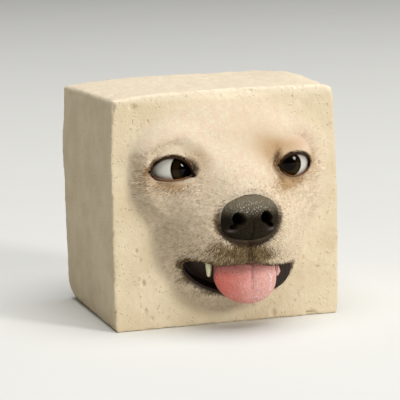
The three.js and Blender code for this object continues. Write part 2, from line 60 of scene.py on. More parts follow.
def node_box(node):
    """Lowest and highest corner of a solid, in millimetres."""
    return [np.array(corner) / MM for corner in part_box(node)]


# %% [markdown]
# ## Small maths
#
# The shapes are heights worked out for whole grids of points at once. A few small functions do nearly
# all of it: a smooth step, a blend, a rounded maximum (two hills that flow into one another), a hump, a
# ridge and a random grain.

# %% Steps, blends, humps and grain
def step(a, b, x):
    """Goes smoothly from 0 at a to 1 at b, in either order."""
    t = np.clip((x - a) / (b - a), 0, 1)
    return t * t * (3 - 2 * t)


def blend(a, b, t):
    return a + (b - a) * t


def smooth_max(a, b, k):
    """The larger of two heights, with the crease between them rounded over k."""
    t = np.clip(0.5 + 0.5 * (a - b) / k, 0, 1)
    return blend(b, a, t) + k * t * (1 - t)


def hump(a, b, spread_a, spread_b):
    """A round hump of height 1 that falls off over the distances given."""
    return np.exp(-(a / spread_a) ** 2 - (b / spread_b) ** 2)


def ridge(a, spread):
    """A long ridge of height 1 that falls off to both sides."""
    return hump(a, 0, spread, 1)


def grain(points, size, seed=0.0):
    """Smooth random values from about -1 to 1 at each point, in lumps of the size given."""
    return np.array([noise.noise(Vector(p) / size + Vector((seed, 0, 0))) for p in points])


print("a half step:", float(step(0, 1, 0.5)))

# %% [markdown]
# ## Meshes from points
#
# Each piece is a mesh of its own, made from an array of points and a list of faces. Most are rings of
# points skinned one to the next. The block is a lattice of its own, further down, and so are the hairs.

# %% Making a piece
def add_piece(name, points, faces, finish, flat=False):
    """A mesh object from points in millimetres."""
    mesh = bpy.data.meshes.new(name)
    mesh.from_pydata((np.asarray(points) * MM).tolist(), [], faces)
    mesh.update()
    if not flat:
        mesh.shade_smooth()
    mesh.materials.append(finish)
    piece = bpy.data.objects.new(name, mesh)
    bpy.context.scene.collection.objects.link(piece)
    print(f"{name}: {len(mesh.vertices)} points, {len(mesh.polygons)} faces")
    return piece


def skin_rings(rows, around, joined=False):
    """Faces over rings of `around` points, row after row: closed into a ring, or capped at both ends."""
    spans = rows if joined else rows - 1
    faces = []
    for i in range(spans):
        here = i * around
        there = ((i + 1) % rows) * around
        for j in range(around):
            k = (j + 1) % around
            faces.append((here + j, here + k, there + k, there + j))
    if not joined:
        last = (rows - 1) * around
        faces.append(tuple(range(around - 1, -1, -1)))
        faces.append(tuple(range(last, last + around)))
    return faces


def outward(points, faces):
    """The same faces, turned over if they enclose a negative volume."""
    points = np.asarray(points)
    volume = sum(np.dot(points[f[0]], np.cross(points[f[i]], points[f[i + 1]]))
                 for f in faces for i in range(1, len(f) - 1))
    return faces if volume > 0 else [tuple(reversed(f)) for f in faces]


def place_piece(piece, *nodes, slot):
    """A piece rides on the object's one body and stands for the solids named."""
    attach(piece, "root")
    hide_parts(*nodes)


def ring_piece(name, points, around, finish, node, slot, joined=False):
    """A piece skinned over rings of points, which stands for one solid."""
    rings = skin_rings(len(points) // around, around, joined)
    piece = add_piece(name, points, outward(points, rings), finish)
    place_piece(piece, node, slot=slot)


# %% [markdown]
# ## Shader sums
#
# A finish is a tree of nodes, but most of what it says is arithmetic: where the pores lie, how brown the
# skin is round the eyes. Writing that as sums keeps it readable. `Value` wraps a socket and turns `+`,
# `-`, `*`, `/`, `**` and `abs()` into Math nodes. Colours and vectors go through Mix and Vector Math
# instead.

# %% A socket that can be used in sums
class Value:
    def __init__(self, finish, socket):
        self.finish = finish
        self.socket = socket

    def __add__(self, other):
        return self.finish.math("ADD", self, other)

    def __sub__(self, other):
        return self.finish.math("SUBTRACT", self, other)

    def __rsub__(self, other):
        return self.finish.math("SUBTRACT", other, self)

    def __mul__(self, other):
        return self.finish.math("MULTIPLY", self, other)

    def __truediv__(self, other):
        return self.finish.math("DIVIDE", self, other)

    def __pow__(self, other):
        return self.finish.math("POWER", self, other)

    def __abs__(self):
        return self.finish.math("ABSOLUTE", self)

    __radd__ = __add__
    __rmul__ = __mul__


# %% A finish that is built up node by node
class Finish:
    """A material in the making, with its Principled shader at hand as .shader."""

    def __init__(self, name):
        self.material = bpy.data.materials.new(name)
        self.material.use_nodes = True
        self.tree = self.material.node_tree
        self.tree.nodes.clear()
        self.shader = self.node("ShaderNodeBsdfPrincipled")
        output = self.node("ShaderNodeOutputMaterial")
        self.tree.links.new(self.shader.outputs[0], output.inputs[0])
        place = self.node("ShaderNodeTexCoord").outputs["Object"]
        scaled = self.node("ShaderNodeVectorMath", {"operation": "SCALE"}, {0: place, "Scale": 1 / MM})
        self.place = scaled.outputs[0]
        parts = self.node("ShaderNodeSeparateXYZ", {}, {0: self.place})
        self.x, self.y, self.z = [Value(self, socket) for socket in parts.outputs]

    def node(self, kind, settings=None, sockets=None):
        """Adds a node, sets its settings, then fills its sockets with numbers, colours or links."""
        node = self.tree.nodes.new(kind)
        for name, value in (settings or {}).items():
            setattr(node, name, value)
        for name, value in (sockets or {}).items():
            self.feed(node.inputs[name], value)
        return node

    def feed(self, socket, value):
        if isinstance(value, Value):
            value = value.socket
        if isinstance(value, bpy.types.NodeSocket):
            self.tree.links.new(value, socket)
        else:
            socket.default_value = value

    def math(self, operation, *values):
        node = self.node("ShaderNodeMath", {"operation": operation}, dict(enumerate(values)))
        return Value(self, node.outputs[0])

    def step(self, a, b, value):
        """0 to 1 as value goes from a to b, smoothly. a may be larger than b."""
        low, high = min(a, b), max(a, b)
        ends = {"Value": value, "From Min": low, "From Max": high}
        node = self.node("ShaderNodeMapRange", {"interpolation_type": "SMOOTHSTEP"}, ends)
        rising = Value(self, node.outputs[0])
        return rising if a < b else 1 - rising

    def hump(self, a, b, spread_a, spread_b):
        """A round hump of height 1 at a = b = 0."""
        square = (a / spread_a) ** 2 + (b / spread_b) ** 2
        return self.math("EXPONENT", square * -1)

    def away(self, a, b):
        """Distance from a = b = 0."""
        return (a ** 2 + b ** 2) ** 0.5

    def mix(self, factor, a, b):
        """Two colours blended by a factor."""
        node = self.node("ShaderNodeMix", {"data_type": "RGBA"})
        for index, value in ((0, factor), (6, a), (7, b)):
            self.feed(node.inputs[index], value)
        return node.outputs[2]

    def vector(self, x, y, z):
        return self.node("ShaderNodeCombineXYZ", {}, {0: x, 1: y, 2: z}).outputs[0]

    def noise(self, size, detail=2.0, rough=0.5, at=None):
        """Cloudy values from 0 to 1 in lumps of the size given, in millimetres."""
        sockets = {"Vector": at or self.place, "Scale": 1 / size, "Detail": detail, "Roughness": rough}
        return Value(self, self.node("ShaderNodeTexNoise", {}, sockets).outputs[0])

    def cells(self, size, random=1.0):
        """Distance to the nearest of scattered points, in cell widths."""
        sockets = {"Vector": self.place, "Scale": 1 / size, "Randomness": random}
        return Value(self, self.node("ShaderNodeTexVoronoi", {}, sockets).outputs[0])

    def bump(self, height, strength, depth):
        """Raises the surface by height, depth in millimetres for each unit."""
        sockets = {"Height": height, "Strength": strength, "Distance": depth * MM}
        normal = self.node("ShaderNodeBump", {}, sockets).outputs[0]
        self.feed(self.shader.inputs["Normal"], normal)

    def set(self, sockets):
        """Fills the shader's own sockets by name."""
        for name, value in sockets.items():
            self.feed(self.shader.inputs[name], value)


def colour(red, green, blue):
    """A colour as a screen shows it, 0 to 255, turned into the light that it reflects."""
    shares = [c / 255 for c in (red, green, blue)]
    light = [((c + 0.055) / 1.055) ** 2.4 if c > 10.5 / 255 else c / 12.92 for c in shares]
    return (*light, 1.0)


print("cream:", [round(c, 3) for c in colour(236, 222, 190)])

# %% [markdown]
# ## The face's relief
#
# The swelling is the sum of a few plain hills: a long dome for the muzzle, a low plateau for the skull,
# a hump for each cheek, a brow and a bag round each eye, and lids that follow the ball beneath. Heights
# are easier to tune than sculpted points, and the solid model is made by much the same sums.

# %% Sizes of the block and the face
WIDTH, DEPTH, HEIGHT = 83.0, 62.0, 79.9
EDGE = 1.0
FRONT = DEPTH / 2
HALF_WIDTH = WIDTH / 2
FACE_MIDDLE, FACE_LEVEL, FACE_LEAN = 1.4, 39.3, math.radians(-3)
MUZZLE_REACH, MUZZLE_HALF_WIDTH = 21.0, 24.5
SKULL_RISE, SKULL_HALF_WIDTH = 4.6, 37.4
LEFT_PLATEAU, RIGHT_PLATEAU = 0.86, 0.45
CHEEK_RISE, LEFT_CHEEKBONE, RIGHT_CHEEKBONE = 2.4, 2.4, 1.0


def eye_facts(name):
    """Centre and radius of an eyeball, measured on its solid."""
    low, high = node_box(name + "_eyeball")
    radius = (high[0] - low[0]) / 2
    return np.array([(low[0] + high[0]) / 2, high[1] - radius, (low[2] + high[2]) / 2]), radius


NOSE_LOW, NOSE_HIGH = node_box("nose")
NOSE_HALVES = np.array([(NOSE_HIGH[0] - NOSE_LOW[0]) / 2, 6.5, (NOSE_HIGH[2] - NOSE_LOW[2]) / 2])
NOSE_CENTRE = np.array([(NOSE_LOW[0] + NOSE_HIGH[0]) / 2, NOSE_HIGH[1] - NOSE_HALVES[1],
                        (NOSE_LOW[2] + NOSE_HIGH[2]) / 2])
NOSE_BELOW, NOSE_ABOVE = 0.87, 0.97
LEFT_BALL, BALL_RADIUS = eye_facts("left")
RIGHT_BALL, _ = eye_facts("right")
LID_THICKNESS = 1.0
# inner_swell: rise, how far inwards and up from the ball's middle, and how far it spreads both ways
EYES = [
    {"name": "left", "side": -1, "ball": LEFT_BALL, "corners": (-21.9, 55.2), "half": 7.05, "tilt": -5,
     "upper": 5.6, "lower": 2.1, "upper_curve": 0.64, "lower_curve": 0.45, "skew": 0.45,
     "iris": 5.1, "yaw": 17, "pitch": 4, "brow": 1.1, "bag": 0.0,
     "inner_swell": (2.3, 1, -1.4, 7.8, 12.2), "inner_reach": 1.22,
     "whites": (colour(206, 204, 194), colour(222, 219, 210))},
    {"name": "right", "side": 1, "ball": RIGHT_BALL, "corners": (23.1, 55.6), "half": 6.5, "tilt": 0,
     "upper": 3.8, "lower": 4.05, "upper_curve": 0.55, "lower_curve": 0.55, "skew": 0.0,
     "iris": 4.3, "yaw": -4, "pitch": 1, "brow": 0.3, "bag": 0.5,
     "inner_swell": (-0.8, 9, -1, 3.5, 5), "inner_reach": 1.75,
     "whites": (colour(194, 191, 182), colour(207, 204, 195))},
]
print("eyeballs at", LEFT_BALL.round(1), RIGHT_BALL.round(1), "radius", round(BALL_RADIUS, 2))


# %% Muzzle, skull and orbits
def turned(x, y, angle):
    """The same place along axes turned anticlockwise by an angle in radians."""
    cos, sin = math.cos(angle), math.sin(angle)
    return x * cos + y * sin, y * cos - x * sin


def face_frame(u, v):
    """Along the face's own right and own up, since the face leans a little."""
    return turned(u - FACE_MIDDLE, v - FACE_LEVEL, FACE_LEAN)


def muzzle(m, n):
    """The long dome of the snout, steep at the chin and running up into the forehead."""
    reach = np.where(n > 0, 33.0, 33.5)
    half_width = MUZZLE_HALF_WIDTH + 2.5 * step(0, -18, n)
    square = blend(2, 2.9, step(0, 14, n))
    out = (np.abs(m / half_width) ** square + np.abs(n / reach) ** square) ** (1 / square)
    out = np.minimum(out, 1.4)
    fall = np.where(n > 0, blend(2.15, 1.7, step(0, 12, n)), blend(2.15, 2.5, step(0, -14, n)))
    return MUZZLE_REACH * (1 - out ** fall)


def skull(m, n):
    """The low plateau of the skull: its edge is clear beside the left eye and soft elsewhere."""
    half_width = SKULL_HALF_WIDTH - 22 * step(6, -24, n)
    reach = np.where(n > 9, 30.0, 42.0)
    out = np.cbrt(np.abs(m / half_width) ** 3 + np.abs((n - 9) / reach) ** 3)
    beside_eye = blend(LEFT_PLATEAU, RIGHT_PLATEAU, step(-5, 5, m))
    plateau = blend(blend(beside_eye, 0.45, step(12, -12, n)), 0.55, step(20, 32, n))
    return SKULL_RISE * (1 - step(plateau, 1.04, out))


def ball_height(eye, u, v, radius):
    """Height of the ball, or of a larger one round it, over the flat front."""
    square = radius ** 2 - (u - eye["ball"][0]) ** 2 - (v - eye["ball"][2]) ** 2
    sink = eye["ball"][1] + FRONT
    return np.where(square > 0, np.sqrt(np.maximum(square, 0)) - sink, -BALL_RADIUS)


def in_gap(eye, u, v):
    """Place along and above the middle of the gap between the lids, each 1 at the gap's edge."""
    half_height = (eye["upper"] + eye["lower"]) / 2
    middle = eye["corners"][1] + (eye["upper"] - eye["lower"]) / 2
    return (u - eye["corners"][0]) / eye["half"], (v - middle) / half_height


def orbit(height, eye, u, v):
    """Brow, bag and inner corner of one eye, with the lids over its ball."""
    side = eye["side"]
    du, dv = u - eye["ball"][0], v - eye["ball"][2]
    ring = np.hypot((du - side * 1.5) / 12.5, dv / 11.5)
    above = step(-2, 7, dv)
    height = height + eye["brow"] * above * ridge(ring - 1, 0.3)
    height = height + eye["bag"] * (1 - above) * ridge(ring - 0.9, 0.22)
    rise, out, up, spread_u, spread_v = eye["inner_swell"]
    height = height + rise * hump(du + side * out, dv - up, spread_u, spread_v)
    lid = ball_height(eye, u, v, BALL_RADIUS + LID_THICKNESS)
    hugging = np.minimum(height, np.maximum(lid + 0.3, 5.0))
    inner = step(0, 1, side * (eye["corners"][0] - u) / eye["half"])
    near = step(blend(1.75, eye["inner_reach"], inner), 1.06, np.hypot(*in_gap(eye, u, v)))
    return smooth_max(blend(height, hugging, near), lid, 2.4)


def nose_ring(u, v):
    """1 at the outline of the nose pad, larger outside it."""
    up = v - NOSE_CENTRE[2]
    half_height = NOSE_HALVES[2] * np.where(up < 0, NOSE_BELOW, NOSE_ABOVE)
    return np.hypot((u - NOSE_CENTRE[0]) / NOSE_HALVES[0], up / half_height)


def shut_skin(u, v):
    """Height of the face's skin over the flat front, with eyes and mouth still shut."""
    m, n = face_frame(u, v)
    height = smooth_max(muzzle(m, n), skull(m, n), 9)
    height = height + CHEEK_RISE * hump(np.abs(m) - 18.5, n + 5, 7.5, 13)
    cheekbone = blend(LEFT_CHEEKBONE, RIGHT_CHEEKBONE, step(-5, 5, m))
    height = height + cheekbone * hump(np.abs(m) - 25, n - 8, 7, 10)
    for eye in EYES:
        height = orbit(height, eye, u, v)
    under_nose = step(-6, -9, n) * step(-17.5, -14, n)
    groove = 0.9 * ridge(m, 0.9)
    lobes = 0.5 * ridge(np.abs(m) - 5, 4)
    crease = 1.5 * step(1, -6, v - NOSE_CENTRE[2]) * ridge(nose_ring(u, v) - 1.05, 0.16)
    return height + under_nose * (lobes - groove) - crease


print("the muzzle stands out by", round(float(shut_skin(FACE_MIDDLE, FACE_LEVEL)), 1), "mm")


# %% [markdown]
# The openings are outlines on that skin. Inside a lid's outline the skin drops behind the ball, a steep
# wall that a separate dark rim covers. Inside the lips it drops to the floor of the mouth, and under the
# nose pad to a seat.

# %% Lids and lips
MOUTH_MIDDLE, MOUTH_HALF, MOUTH_FLOOR = 1.6, 20.3, 4.0
NOSE_SEAT = 11.0
CORNER_LEVEL, CORNER_LEAN, LOWER_LIP_DROP = 21.8, 0.0885, 10.4
GAP = 0.3


def lid_levels(eye, x, share, grow=0.0):
    """How far the upper and the lower lid lie from the line between the eye's corners."""
    fuller = 1 + eye["skew"] * eye["side"] * x / eye["half"]
    upper = (eye["upper"] + grow) * share ** eye["upper_curve"]
    return upper, (eye["lower"] + grow) * share ** eye["lower_curve"] * fuller


def lids(eye, u, v):
    """Negative inside the gap between the lids: roughly the distance to its edge."""
    x, y = turned(u - eye["corners"][0], v - eye["corners"][1], math.radians(eye["tilt"]))
    upper, lower = lid_levels(eye, x, np.maximum(1 - (x / eye["half"]) ** 2, 0))
    return np.maximum(np.maximum(y - upper, -lower - y), np.abs(x) - eye["half"])


def lips(u):
    """Levels of the upper and the lower lip line at u."""
    along = u - MOUTH_MIDDLE
    share = np.minimum(np.abs(along) / MOUTH_HALF, 1)
    corner = CORNER_LEVEL - CORNER_LEAN * along
    flews = 1.2 * ridge(u - 3.2, 4.5) - ridge(u + 9.5, 3.2)
    upper = corner + (1.55 - 0.04 * along) * np.sqrt(1 - share ** 8) + flews
    lower = corner - (LOWER_LIP_DROP + 0.12 * np.maximum(along, 0)) * np.sqrt(1 - share ** 2)
    return upper, lower


def off_lips(u, v):
    """Distance outside the open mouth, negative inside it."""
    upper, lower = lips(u)
    return np.maximum(np.maximum(v - upper, lower - v), np.abs(u - MOUTH_MIDDLE) - MOUTH_HALF)


def open_skin(u, v):
    """The skin with eyes and mouth open."""
    height = shut_skin(u, v)
    for eye in EYES:
        behind_ball = ball_height(eye, u, v, BALL_RADIUS) - 1.5
        height = blend(height, behind_ball, step(0.6, -0.1, lids(eye, u, v)))
    height = blend(height, np.minimum(height, MOUTH_FLOOR), step(0.25, -0.35, off_lips(u, v)))
    return blend(height, np.minimum(height, NOSE_SEAT), step(0.95, 0.88, nose_ring(u, v)))


print("lips at the middle:", [round(float(level), 1) for level in lips(MOUTH_MIDDLE)])

# %% [markdown]
# ## The block's lattice
#
# The whole tofu block is one closed skin over a box. A box of lattice points would give every side as
# many faces as the front, so only the front keeps all its lines. The other sides keep every second one
# and the back every fourth. Their border cells take in the extra points along the shared edges, which
# keeps the skin closed.

# %% Lattice lines
def lines(low, high, fine_low, fine_high, fine, coarse):
    """Positions from low to high: close together between fine_low and fine_high."""
    def run(a, b, size):
        return np.linspace(a, b, max(1, round((b - a) / size)) + 1)[:-1]
    inner = [run(low + EDGE, fine_low, coarse), run(fine_low, fine_high, fine),
             run(fine_high, high - EDGE, coarse)]
    edge = np.linspace(0, EDGE, 4)[:-1]
    return np.concatenate([low + edge, *inner, high - EDGE + np.append(edge, EDGE)])


ACROSS = lines(-HALF_WIDTH, HALF_WIDTH, -38, 39, 0.36, 0.5)
BACK = lines(-FRONT, FRONT, 0, 1, 0.7, 0.7)
UP = lines(0, HEIGHT, 7, 66, 0.36, 0.5)
print("lines across, back and up:", len(ACROSS), len(BACK), len(UP))


# %% Faces of the lattice
def kept(count, every):
    """Every so many of the lines, always with the first and the last."""
    return sorted({*range(0, count, every), count - 1})


def side_cells(count_a, count_b, every):
    """Loops of (a, b) line numbers round each cell of a side, with all points of its border."""
    rows, columns = kept(count_a, every), kept(count_b, every)
    for a, next_a in zip(rows, rows[1:]):
        for b, next_b in zip(columns, columns[1:]):
            low = range(a, next_a) if b == 0 else [a]
            right = range(b, next_b) if next_a == count_a - 1 else [b]
            high = range(next_a, a, -1) if next_b == count_b - 1 else [next_a]
            left = range(next_b, b, -1) if a == 0 else [next_b]
            yield ([(i, b) for i in low] + [(next_a, j) for j in right]
                   + [(i, next_b) for i in high] + [(a, j) for j in left])


def lattice_faces():
    """All faces as lists of (across, back, up) line numbers, with the side that each is on."""
    na, nb, nu = len(ACROSS), len(BACK), len(UP)
    sides = {
        "front": (na, nu, 1, lambda a, b: (a, 0, b), False),
        "back": (na, nu, 4, lambda a, b: (a, nb - 1, b), True),
        "left": (nb, nu, 2, lambda a, b: (0, a, b), True),
        "right": (nb, nu, 2, lambda a, b: (na - 1, a, b), False),
        "top": (na, nb, 2, lambda a, b: (a, b, nu - 1), False),
        "base": (na, nb, 2, lambda a, b: (a, b, 0), True),
    }
    for side, (count_a, count_b, every, at, turned) in sides.items():
        for loop in side_cells(count_a, count_b, every):
            points = [at(a, b) for a, b in loop]
            yield side, points[::-1] if turned else points


FACES = list(lattice_faces())
print("block faces:", len(FACES))

# %% [markdown]
# ## The block's form
#
# A hand-cut block is never straight. First each lattice point goes to a box with rounded edges. Then the
# box settles: its top domes, its back left edge bulges and its right side leans in. Pits and crumbs are
# pressed into the bare tofu, and last the face rises out of the front.

# %% Rounding and settling
# How far the hand-cut block strays from a straight one
DOME_RISE, DOME_MIDDLE, DOME_REACH = 2.5, 8, 52
SHOULDER_RISE, BACK_CORNER_DROP = 1.75, 0.6
BULGE, UPPER_BULGE, UPPER_BULGE_LEVEL = 0.75, 0.6, 58
RIGHT_LEAN, LEFT_LEAN = 1.4, 0.8
CORNER_ROUNDING, FOOT_TUCK, BACK_FOOT_TUCK = 0.55, 0.6, 1.3


def rounded(points):
    """Points of a sharp box brought onto one with rounded edges."""
    low = np.array([-HALF_WIDTH + EDGE, -FRONT + EDGE, EDGE])
    high = np.array([HALF_WIDTH - EDGE, FRONT - EDGE, HEIGHT - EDGE])
    inner = np.clip(points, low, high)
    out = points - inner
    length = np.linalg.norm(out, axis=1, keepdims=True)
    normal = out / np.maximum(length, 1e-9)
    return inner + normal * EDGE, normal


def settled(points):
    """The straight-sided block's points where the soft, hand-cut block has them."""
    x, y, z = points.T
    high = z / HEIGHT
    front_share = 0.5 - y / DEPTH
    dome = 1 - np.abs((x - DOME_MIDDLE) / DOME_REACH) ** 3
    rise = DOME_RISE * dome * blend(0.7, 1, front_share)
    shoulder = SHOULDER_RISE * step(20, 36, x) * ridge(y - 3, 20)
    low_corner = BACK_CORNER_DROP * hump(x + HALF_WIDTH, y - FRONT, 14, 14)
    back_left = step(0.75, 0, front_share) * step(0, -HALF_WIDTH, x)
    bulge = BULGE * np.sin(np.pi * np.clip(high, 0, 1)) + UPPER_BULGE * ridge(z - UPPER_BULGE_LEVEL, 8)
    right_lean = RIGHT_LEAN * step(0.5, 1.05, high) * step(HALF_WIDTH - 12, HALF_WIDTH, x)
    left_lean = LEFT_LEAN * step(0.7, 1, high) * front_share * step(12 - HALF_WIDTH, -HALF_WIDTH, x)
    corner = CORNER_ROUNDING * hump(x - HALF_WIDTH, z - HEIGHT, 3.5, 3.5)
    foot = FOOT_TUCK * hump(np.abs(x) - HALF_WIDTH, z, 2.5, 2.5)
    back_foot = BACK_FOOT_TUCK * (1 - front_share) * hump(x + HALF_WIDTH, z, 4, 4)
    across = x - back_left * bulge - right_lean + left_lean - corner - np.sign(x) * foot + back_foot
    return np.stack([across, y, z + (rise + shoulder - low_corner) * high ** 5 - corner], axis=1)


# %% Pits and crumbs
PIT_SEED, PIT_COUNT = 7, 150
rng = np.random.default_rng(PIT_SEED)
# The larger pits and chips of the front: u, v, half length, half height, depth
MARKED_PITS = [
    (-4.6, 72.6, 0.8, 1.5, 0.9), (-2.0, 80.9, 3.0, 1.0, 0.8), (33.2, 17.5, 1.4, 0.5, 0.7),
    (-31.0, 16.7, 0.9, 1.3, 0.9), (-33.2, 28.2, 0.7, 0.9, 0.8), (-41.0, 77.8, 1.2, 1.8, 0.9),
    (30.6, 0.9, 2.6, 1.1, 1.2), (34.5, 39.6, 0.7, 0.4, 0.5), (34.2, 35.0, 0.5, 0.4, 0.5),
    (-26.8, 68.1, 0.5, 0.5, 0.5), (-35.6, 64.3, 0.6, 0.4, 0.5), (-32.2, 67.0, 0.4, 0.5, 0.5),
    (31.6, 68.6, 0.4, 0.6, 0.5), (24.4, 76.6, 0.6, 0.4, 0.5), (9.0, 79.1, 1.1, 0.6, 0.6),
    (3.8, 80.2, 1.0, 0.8, 0.9), (15.6, 80.3, 1.3, 0.8, 0.9), (26.0, 79.6, 0.8, 0.7, 0.8),
    (24.5, 5.9, 0.7, 0.5, 0.6), (19.9, 10.7, 0.5, 0.4, 0.5), (-28.1, 3.9, 0.7, 0.6, 0.6),
    (9.7, 3.2, 0.6, 0.5, 0.5), (-4.0, 6.5, 0.6, 0.4, 0.5),
]


def dent(points, centre, halves, depth):
    """How deep one oval pit is at each point: steep-walled and flat-bottomed."""
    away = np.linalg.norm((points - centre) / halves, axis=1)
    return depth * step(1.15, 0.35, away)


def scattered_pits(count):
    """Small pits strewn over all sides, small ones far more often than large ones."""
    for _ in range(count):
        side = rng.integers(0, 6)
        place = rng.uniform([-HALF_WIDTH, -FRONT, 0], [HALF_WIDTH, FRONT, HEIGHT])
        axis, end = divmod(int(side), 2)
        place[axis] = ((-HALF_WIDTH, HALF_WIDTH), (-FRONT, FRONT), (0, HEIGHT))[axis][end]
        size = 0.4 + 0.9 * rng.random() ** 3
        halves = np.full(3, size) * rng.uniform(0.7, 1.4, 3)
        halves[axis] = 2.0
        yield place, halves, size * 0.6


def pit_depths(flat_points):
    """Depth of all pits at points of the unrelieved block."""
    depths = np.zeros(len(flat_points))
    for u, v, half_length, half_height, depth in MARKED_PITS:
        halves = np.array([half_length, 2.0, half_height])
        depths = np.maximum(depths, dent(flat_points, np.array([u, -FRONT, v]), halves, depth))
    for place, halves, depth in scattered_pits(PIT_COUNT):
        near = np.all(np.abs(flat_points - place) < 2.5, axis=1)
        depths[near] = np.maximum(depths[near], dent(flat_points[near], place, halves, depth))
    return depths


# %% The block's points
FINE_CRUMB, COARSE_CRUMB = 0.22, 0.28


def block_points():
    """Final places of all lattice points that the faces use, and which of them each corner is."""
    size = (len(ACROSS), len(BACK), len(UP))
    loops = np.array([np.ravel_multi_index(point, size) for _, loop in FACES for point in loop])
    used, numbers = np.unique(loops, return_inverse=True)
    i, j, k = np.unravel_index(used, size)
    sharp = np.stack([ACROSS[i], BACK[j], UP[k]], axis=1)
    flat, normal = rounded(sharp)
    points = settled(flat)
    on_front = -normal[:, 1] * (j == 0)
    height = open_skin(sharp[:, 0], sharp[:, 2]) * np.clip(on_front, 0, 1)
    away_from_face = step(1.2, 0.2, height)
    crumb = FINE_CRUMB * grain(flat, 1.6) + COARSE_CRUMB * grain(flat, 5.0, 3.0)
    at_edge = 1 - np.max(np.abs(normal), axis=1)
    crumb = crumb * (0.4 + 4.0 * at_edge + 0.5 * step(0.7, 1, normal[:, 2]))
    depth = (pit_depths(flat) - crumb) * away_from_face
    on_base = flat[:, 2] < 0.05
    depth = np.where(on_base, 0, depth)
    points = points - normal * depth[:, None]
    points[:, 1] -= height
    return points, numbers


BLOCK_POINTS, CORNERS = block_points()
print("block points:", len(BLOCK_POINTS))

# %% [markdown]
# ## The face's colours
#
# The skin is tan round the eyes, dark at the lips and pink on the brows. Each patch is an oval that
# fades out. A few ovals are painted shade instead of the skin's own colour: the broad tan ones on the
# forehead, the right brow and the left cheek, the brown ones at the right eye's inner corner, which
# also carry its tear-stained fur, and a thin dark one in the crease above the nose, over darker fur.
# The sums below take either plain numbers or shader values, so the same patches can tint the skin here
# and choose the colour of single hairs further down.

# %% Patches of colour on the front
# Each oval: u, v, half length, half height, strength
PATCHES = {
    # Tan: fur round the eyes, except (6.0, 69.0), (25.0, 62.0) and (-26.5, 47.0), which are painted shade
    "tan_and_shade": [(-22.0, 50.6, 8.0, 2.4, 1.0), (-19.0, 62.4, 8.0, 2.0, 0.35), (-12.6, 58.0, 3.0, 5.0, 0.6),
            (-26.5, 47.0, 7.0, 4.5, 0.2), (22.5, 50.0, 7.0, 2.0, 0.7), (31.0, 56.5, 1.8, 5.0, 0.6),
            (14.2, 57.6, 4.6, 6.4, 0.75), (11.0, 63.5, 6.5, 5.0, 0.4), (18.5, 49.6, 6.5, 3.0, 0.8),
            (20.0, 62.4, 6.5, 2.6, 0.45), (-31.0, 54.0, 3.6, 4.5, 0.8), (-12.0, 36.0, 9.0, 9.0, 0.3),
            (30.5, 53.5, 2.5, 4.5, 0.35), (14.5, 47.0, 5.0, 5.0, 0.3), (6.0, 69.0, 19.0, 11.0, 0.34),
            (25.0, 62.0, 8.0, 5.0, 0.3)],
    # Brown: tear-stained fur; the two at the right eye's inner corner are also painted shade over its
    # hollow
    "brown": [(-30.2, 55.6, 1.4, 3.0, 0.7), (-13.6, 53.0, 0.9, 2.4, 0.45), (16.0, 57.4, 2.0, 5.2, 0.9),
              (17.0, 51.0, 2.2, 2.0, 0.6), (7.4, 28.0, 4.0, 3.4, 0.55), (-23.0, 51.4, 5.5, 0.7, 0.45)],
    # Lip: dark lips and muzzle; (3.0, 49.6) is darker fur and painted shade in the crease above the nose
    "lip": [(2.5, 28.0, 0.7, 3.6, 0.9), (3.0, 26.2, 11.5, 3.0, 0.9), (2.5, 29.6, 6.0, 3.6, 0.9),
            (-10.5, 27.5, 8.5, 5.5, 0.6), (-9.4, 35.0, 2.6, 6.5, 0.4), (12.6, 34.5, 2.4, 5.0, 0.4),
            (-4.0, 30.4, 6.0, 2.4, 0.5), (3.0, 49.6, 6.0, 1.2, 0.3), (-18.8, 24.0, 1.8, 2.6, 0.9),
            (-17.6, 17.4, 2.0, 1.8, 0.7), (22.2, 17.6, 1.5, 3.4, 0.8), (19.6, 13.2, 2.0, 1.6, 0.5),
            (-10.5, 12.8, 5.0, 0.9, 0.5)],
    "pink": [(26.5, 63.6, 6.5, 3.2, 0.8), (-20.0, 68.5, 9.0, 3.0, 0.35), (6.5, 29.0, 4.0, 2.5, 0.5),
             (10.0, 45.0, 3.0, 6.0, 0.3), (-9.0, 56.0, 3.0, 6.0, 0.3)],
}


def patch(hill, name, u, v):
    """About 1 in the middle of the patches of one colour. hill is hump() or a finish's own hump()."""
    total = 0.0
    for centre_u, centre_v, half_u, half_v, strength in PATCHES[name]:
        total = total + hill(u - centre_u, v - centre_v, half_u, half_v) * strength
    return total


# %% [markdown]
# ## Tofu
#
# Tofu is matt and cream, with fine pores and faint darker flecks. There is no seam between it and the
# face, so one finish does both: the tofu's own colour, blended into skin and its patches on the front.

# %% Tofu and skin
TOFU_DARK, TOFU_LIGHT = colour(220, 202, 169), colour(230, 214, 184)
DARK_SKIN = colour(50, 35, 21)
SKIN, SKIN_ROSY, SKIN_PALE = colour(216, 202, 175), colour(216, 193, 169), colour(232, 221, 201)
SKIN_TINTS = [("pink", 0.6, colour(208, 174, 154)), ("tan_and_shade", 0.85, colour(170, 136, 94)),
              ("brown", 0.9, colour(96, 66, 36)), ("lip", 0.95, colour(84, 64, 42))]


